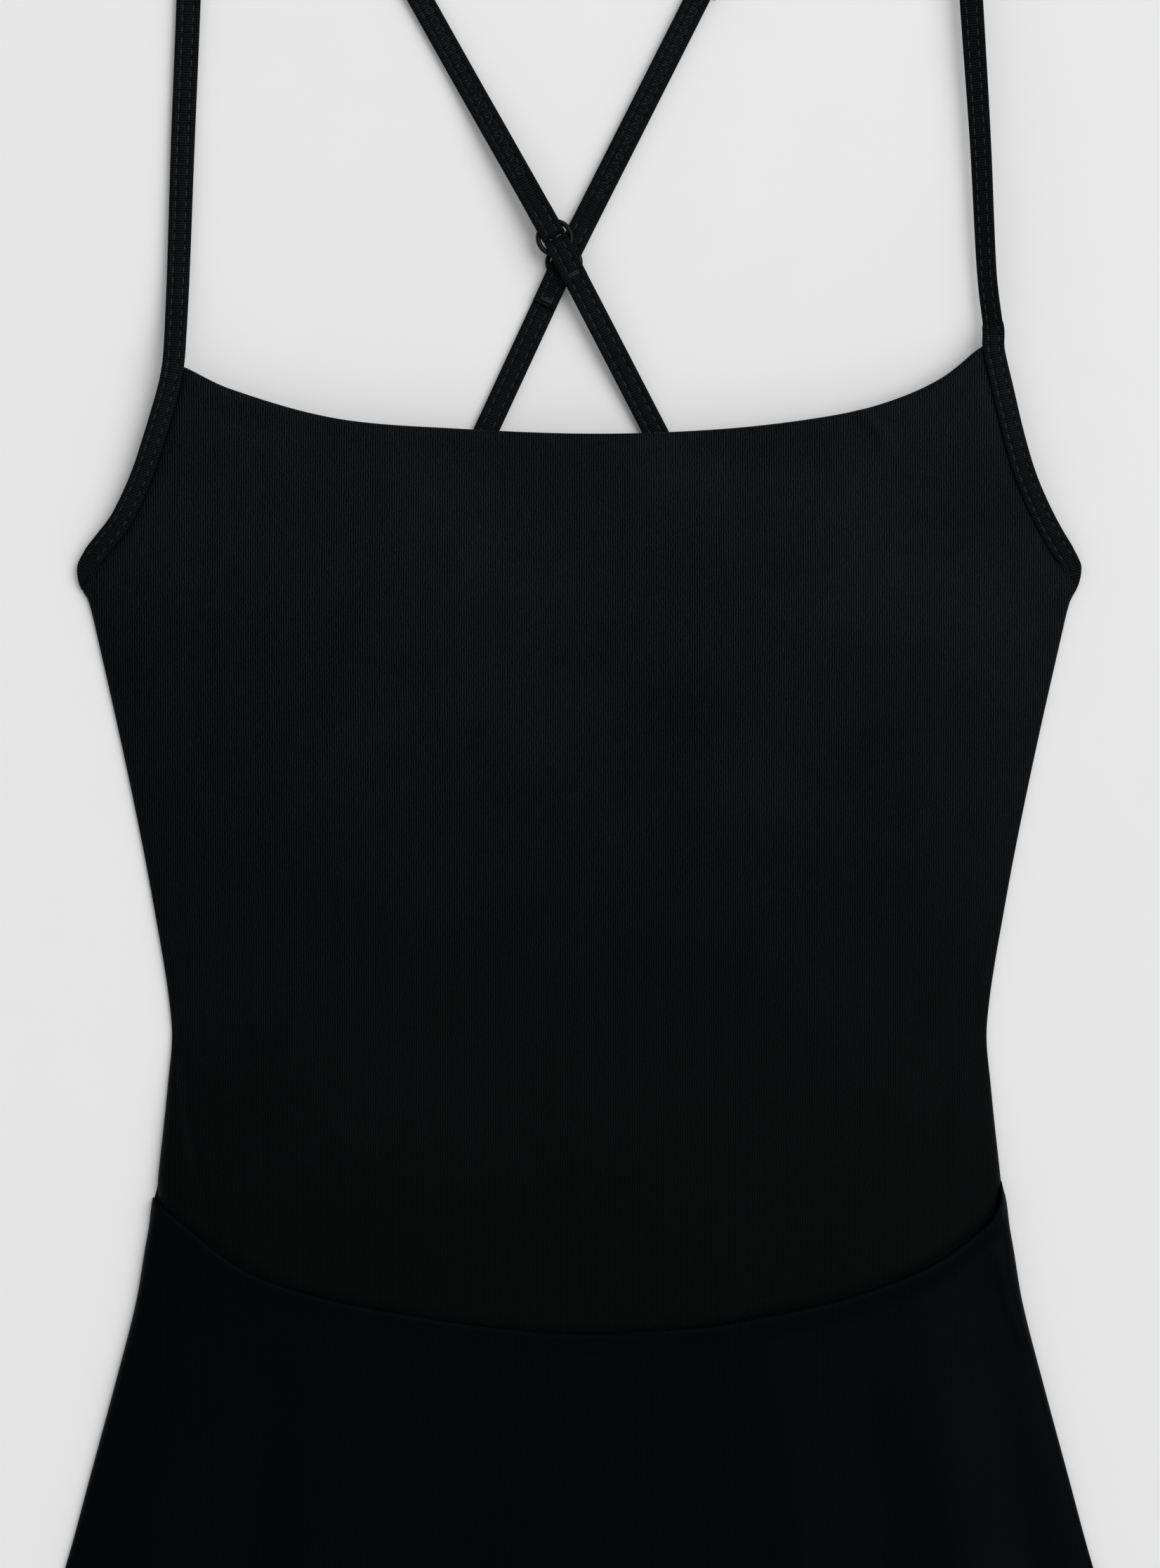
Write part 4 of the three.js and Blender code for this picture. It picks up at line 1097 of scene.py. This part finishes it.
# Polyurethane foam: open, matt and slightly uneven where the mould pressed it.
foam, tree, shader = start_material("moulded_foam", {"Roughness": 0.95, "Specular IOR Level": 0.1})
place = add_node(tree, "ShaderNodeTexCoord")
cells = add_node(
    tree, "ShaderNodeTexVoronoi", values={"Scale": 1400.0}, links={"Vector": place.outputs["Object"]}
)
tone = add_node(tree, "ShaderNodeValToRGB", links={"Fac": cells.outputs["Distance"]})
tone.color_ramp.elements[0].color = dye("#0e0e0f")
tone.color_ramp.elements[1].color = dye("#222326")
tree.links.new(tone.outputs["Color"], shader.inputs["Base Color"])
bump = add_node(
    tree, "ShaderNodeBump", values={"Strength": 0.4, "Distance": 0.1 * MM}, links={"Height": cells.outputs["Distance"]}
)
tree.links.new(bump.outputs["Normal"], shader.inputs["Normal"])

for side, sign in SIDES.items():
    bpy.ops.object.select_all(action="DESELECT")
    bpy.ops.mesh.primitive_uv_sphere_add(segments=64, ring_count=32, radius=1)
    cup = bpy.context.object
    cup.name = f"foam_cup_{side}"
    co = np.zeros(len(cup.data.vertices) * 3)
    cup.data.vertices.foreach_get("co", co)
    co = co.reshape(-1, 3)
    x, y = sign * 62 + co[:, 0] * 50, 206 + co[:, 1] * 46
    thickness = cup_lift(x, y) * 0.92 + cup_rim
    z = lining_top(x, y) + 0.35 + thickness / 2 * (1 + co[:, 2])
    cup.data.vertices.foreach_set("co", (np.stack([x, y, z], 1) * MM).ravel())
    bpy.ops.object.shade_smooth()
    cup.data.materials.append(foam)
    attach(cup, "garment")
    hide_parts(f"bust_cup_{side}")


def elastic_band(name, node, x, y, z, width):
    """A flat elastic along a route, sewn to the cloth over it."""
    s, centre, _ = smooth_route(np.stack([x, y, z], 1), 1.5)
    band = sweep_strip(name, s, centre, strip_frame(s, centre), width / 2, 0.38, band_elastic, sewn=False)
    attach(band, "garment")
    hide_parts(node)
    return band


x = np.linspace(-128, 128, 30)
y = 0 * x + band_height
elastic_band("under_bust_band_front", "bra_band_front", x, y, lining_top(x, y) - lining_cloth - 0.75, 10)
elastic_band("under_bust_band_back", "bra_band_back", x, y, 2.8 + 0 * x, 10)

# ---- Neckline and waist elastics ---------------------------------------------------------------
# Narrow knitted elastics inside the turned neckline and along the waist seam, zigzagged to the
# inside of the cloth and out of sight. They hold the edges to length.
share = np.linspace(0.02, 0.98, 40)
y = neckline(share) - 3.6
x = mix(-front_edge["left"](y), front_edge["right"](y), share)
elastic_band("neckline_band", "neckline_elastic", x, y, front_height(x, y) - 0.8, 5.6)
x, y = beside_edge(seam_front, np.linspace(-145, 145, 40), -4.9)
elastic_band("waist_band_front", "waist_elastic_front", x, y, front_height(x, y) - 1.7, 8)
x, y = beside_edge(seam_back, np.linspace(-145, 145, 30), -4.9)
elastic_band("waist_band_back", "waist_elastic_back", x, y, 1.9 + 0 * x, 8)

# ---- Care label --------------------------------------------------------------------------------
# A small tape of woven satin with nothing printed on it, sewn in under the back edge.
# Woven satin ribbon: off white, with a fine weave and a soft gloss.
satin = knit_material(
    "satin_ribbon", "#c9c9c4", "#dededa", 0.5, {"Roughness": 0.5, "Specular IOR Level": 0.4}, relief=0.03
)
label = lay_cloth(
    "blank_care_label",
    16,
    10,
    lambda a, b: (mix(-12, 12, a), mix(140.3, 153.3, b), 2.7 + 0.15 * np.sin(a * 5) * b),
    0.35,
    satin,
    rim=0.08,
)
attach(label, "garment")
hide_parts("care_label")

# ---- Brief -------------------------------------------------------------------------------------
# Front and back panels of the bodice jersey under the skirt, with a lined gusset, sewn to the same
# waist seam. Elastic is sewn round each leg.
crotch, hip = -215.0, -75.0
brief_half = line_through(
    [-215, 40], [-187, 46.6], [-145, 75.2], [-103, 119.2], [-75, 150], [5, 150.5]
)


def brief_front_middle(x, y):
    open_share = eased((y - crotch) / 60)
    from_seam = np.maximum(0, seam_front(np.clip(x, -seam_half, seam_half)) - y)
    dip = 1.1 * (1 - eased(from_seam / 7))
    return mix(5.3, front_height(x, y) - 1.5 - dip, open_share) + 0.6


def brief_panel(seam, middle):
    return flat_panel(
        lambda s: crotch + 0 * s, lambda s: seam(s * seam_half) - 0.3, lambda y: brief_half(y) - 0.6, middle
    )


brief_front = lay_cloth(
    "brief_front_cloth", 80, 72, brief_panel(seam_front, brief_front_middle), body_cloth - 0.1, bodice_knit
)
brief_back = lay_cloth(
    "brief_back_cloth", 80, 72, brief_panel(seam_back, lambda x, y: 1.9 + 0 * x), body_cloth - 0.1, bodice_knit
)
for piece, node in ((brief_front, "brief_front"), (brief_back, "brief_back")):
    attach(piece, "garment")
    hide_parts(node)
gusset = lay_cloth(
    "gusset_lining_cloth",
    24,
    36,
    flat_panel(
        lambda s: crotch + 0.5 + 0 * s,
        lambda s: -130.0 + 0 * s,
        lambda y: np.minimum(34, brief_half(y) - 8.6),
        lambda x, y: 3.1 + 0 * x,
    ),
    lining_cloth,
    lining_knit,
    rim=0,
)
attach(gusset, "garment")
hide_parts("gusset_lining")
for side, sign in SIDES.items():
    y = np.linspace(crotch + 2, hip - 6, 24)
    slope = brief_half(y + 0.5) - brief_half(y - 0.5)
    run = np.hypot(slope, 1)
    x, y = sign * (brief_half(y) - 4.3 / run), y + 4.3 * slope / run
    elastic_band(f"leg_band_back_{side}", f"leg_elastic_back_{side}", x, y, 3.2 + 0 * x, 8)
    elastic_band(f"leg_band_front_{side}", f"leg_elastic_front_{side}", x, y, brief_front_middle(x, y) - 1.65, 8)

# ---- Hem stitching -----------------------------------------------------------------------------
# The hem is turned up once and held with two parallel rows of the same thread, sewn by a
# two-needle machine that lets the edge stretch.
spots, ways = [], []
for rise in (9.0, 12.0):
    x = np.arange(-216, 217, stitch_pitch)
    y = hem(x) + rise
    z = skirt_middle(x, y) + skirt_cloth / 2 + 0.2
    spots.append(np.stack([x, y, z], 1))
    way = np.gradient(spots[-1], axis=0)
    ways.append(way / np.linalg.norm(way, axis=1)[:, None])
spots, ways = np.vstack(spots), np.vstack(ways)
outs = np.cross(np.cross(ways, [0, 0, 1]), ways)
hem_stitches = lay_threads("hem_stitches", spots, ways, outs, 3.2, 0.36, thread)
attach(hem_stitches, "garment")
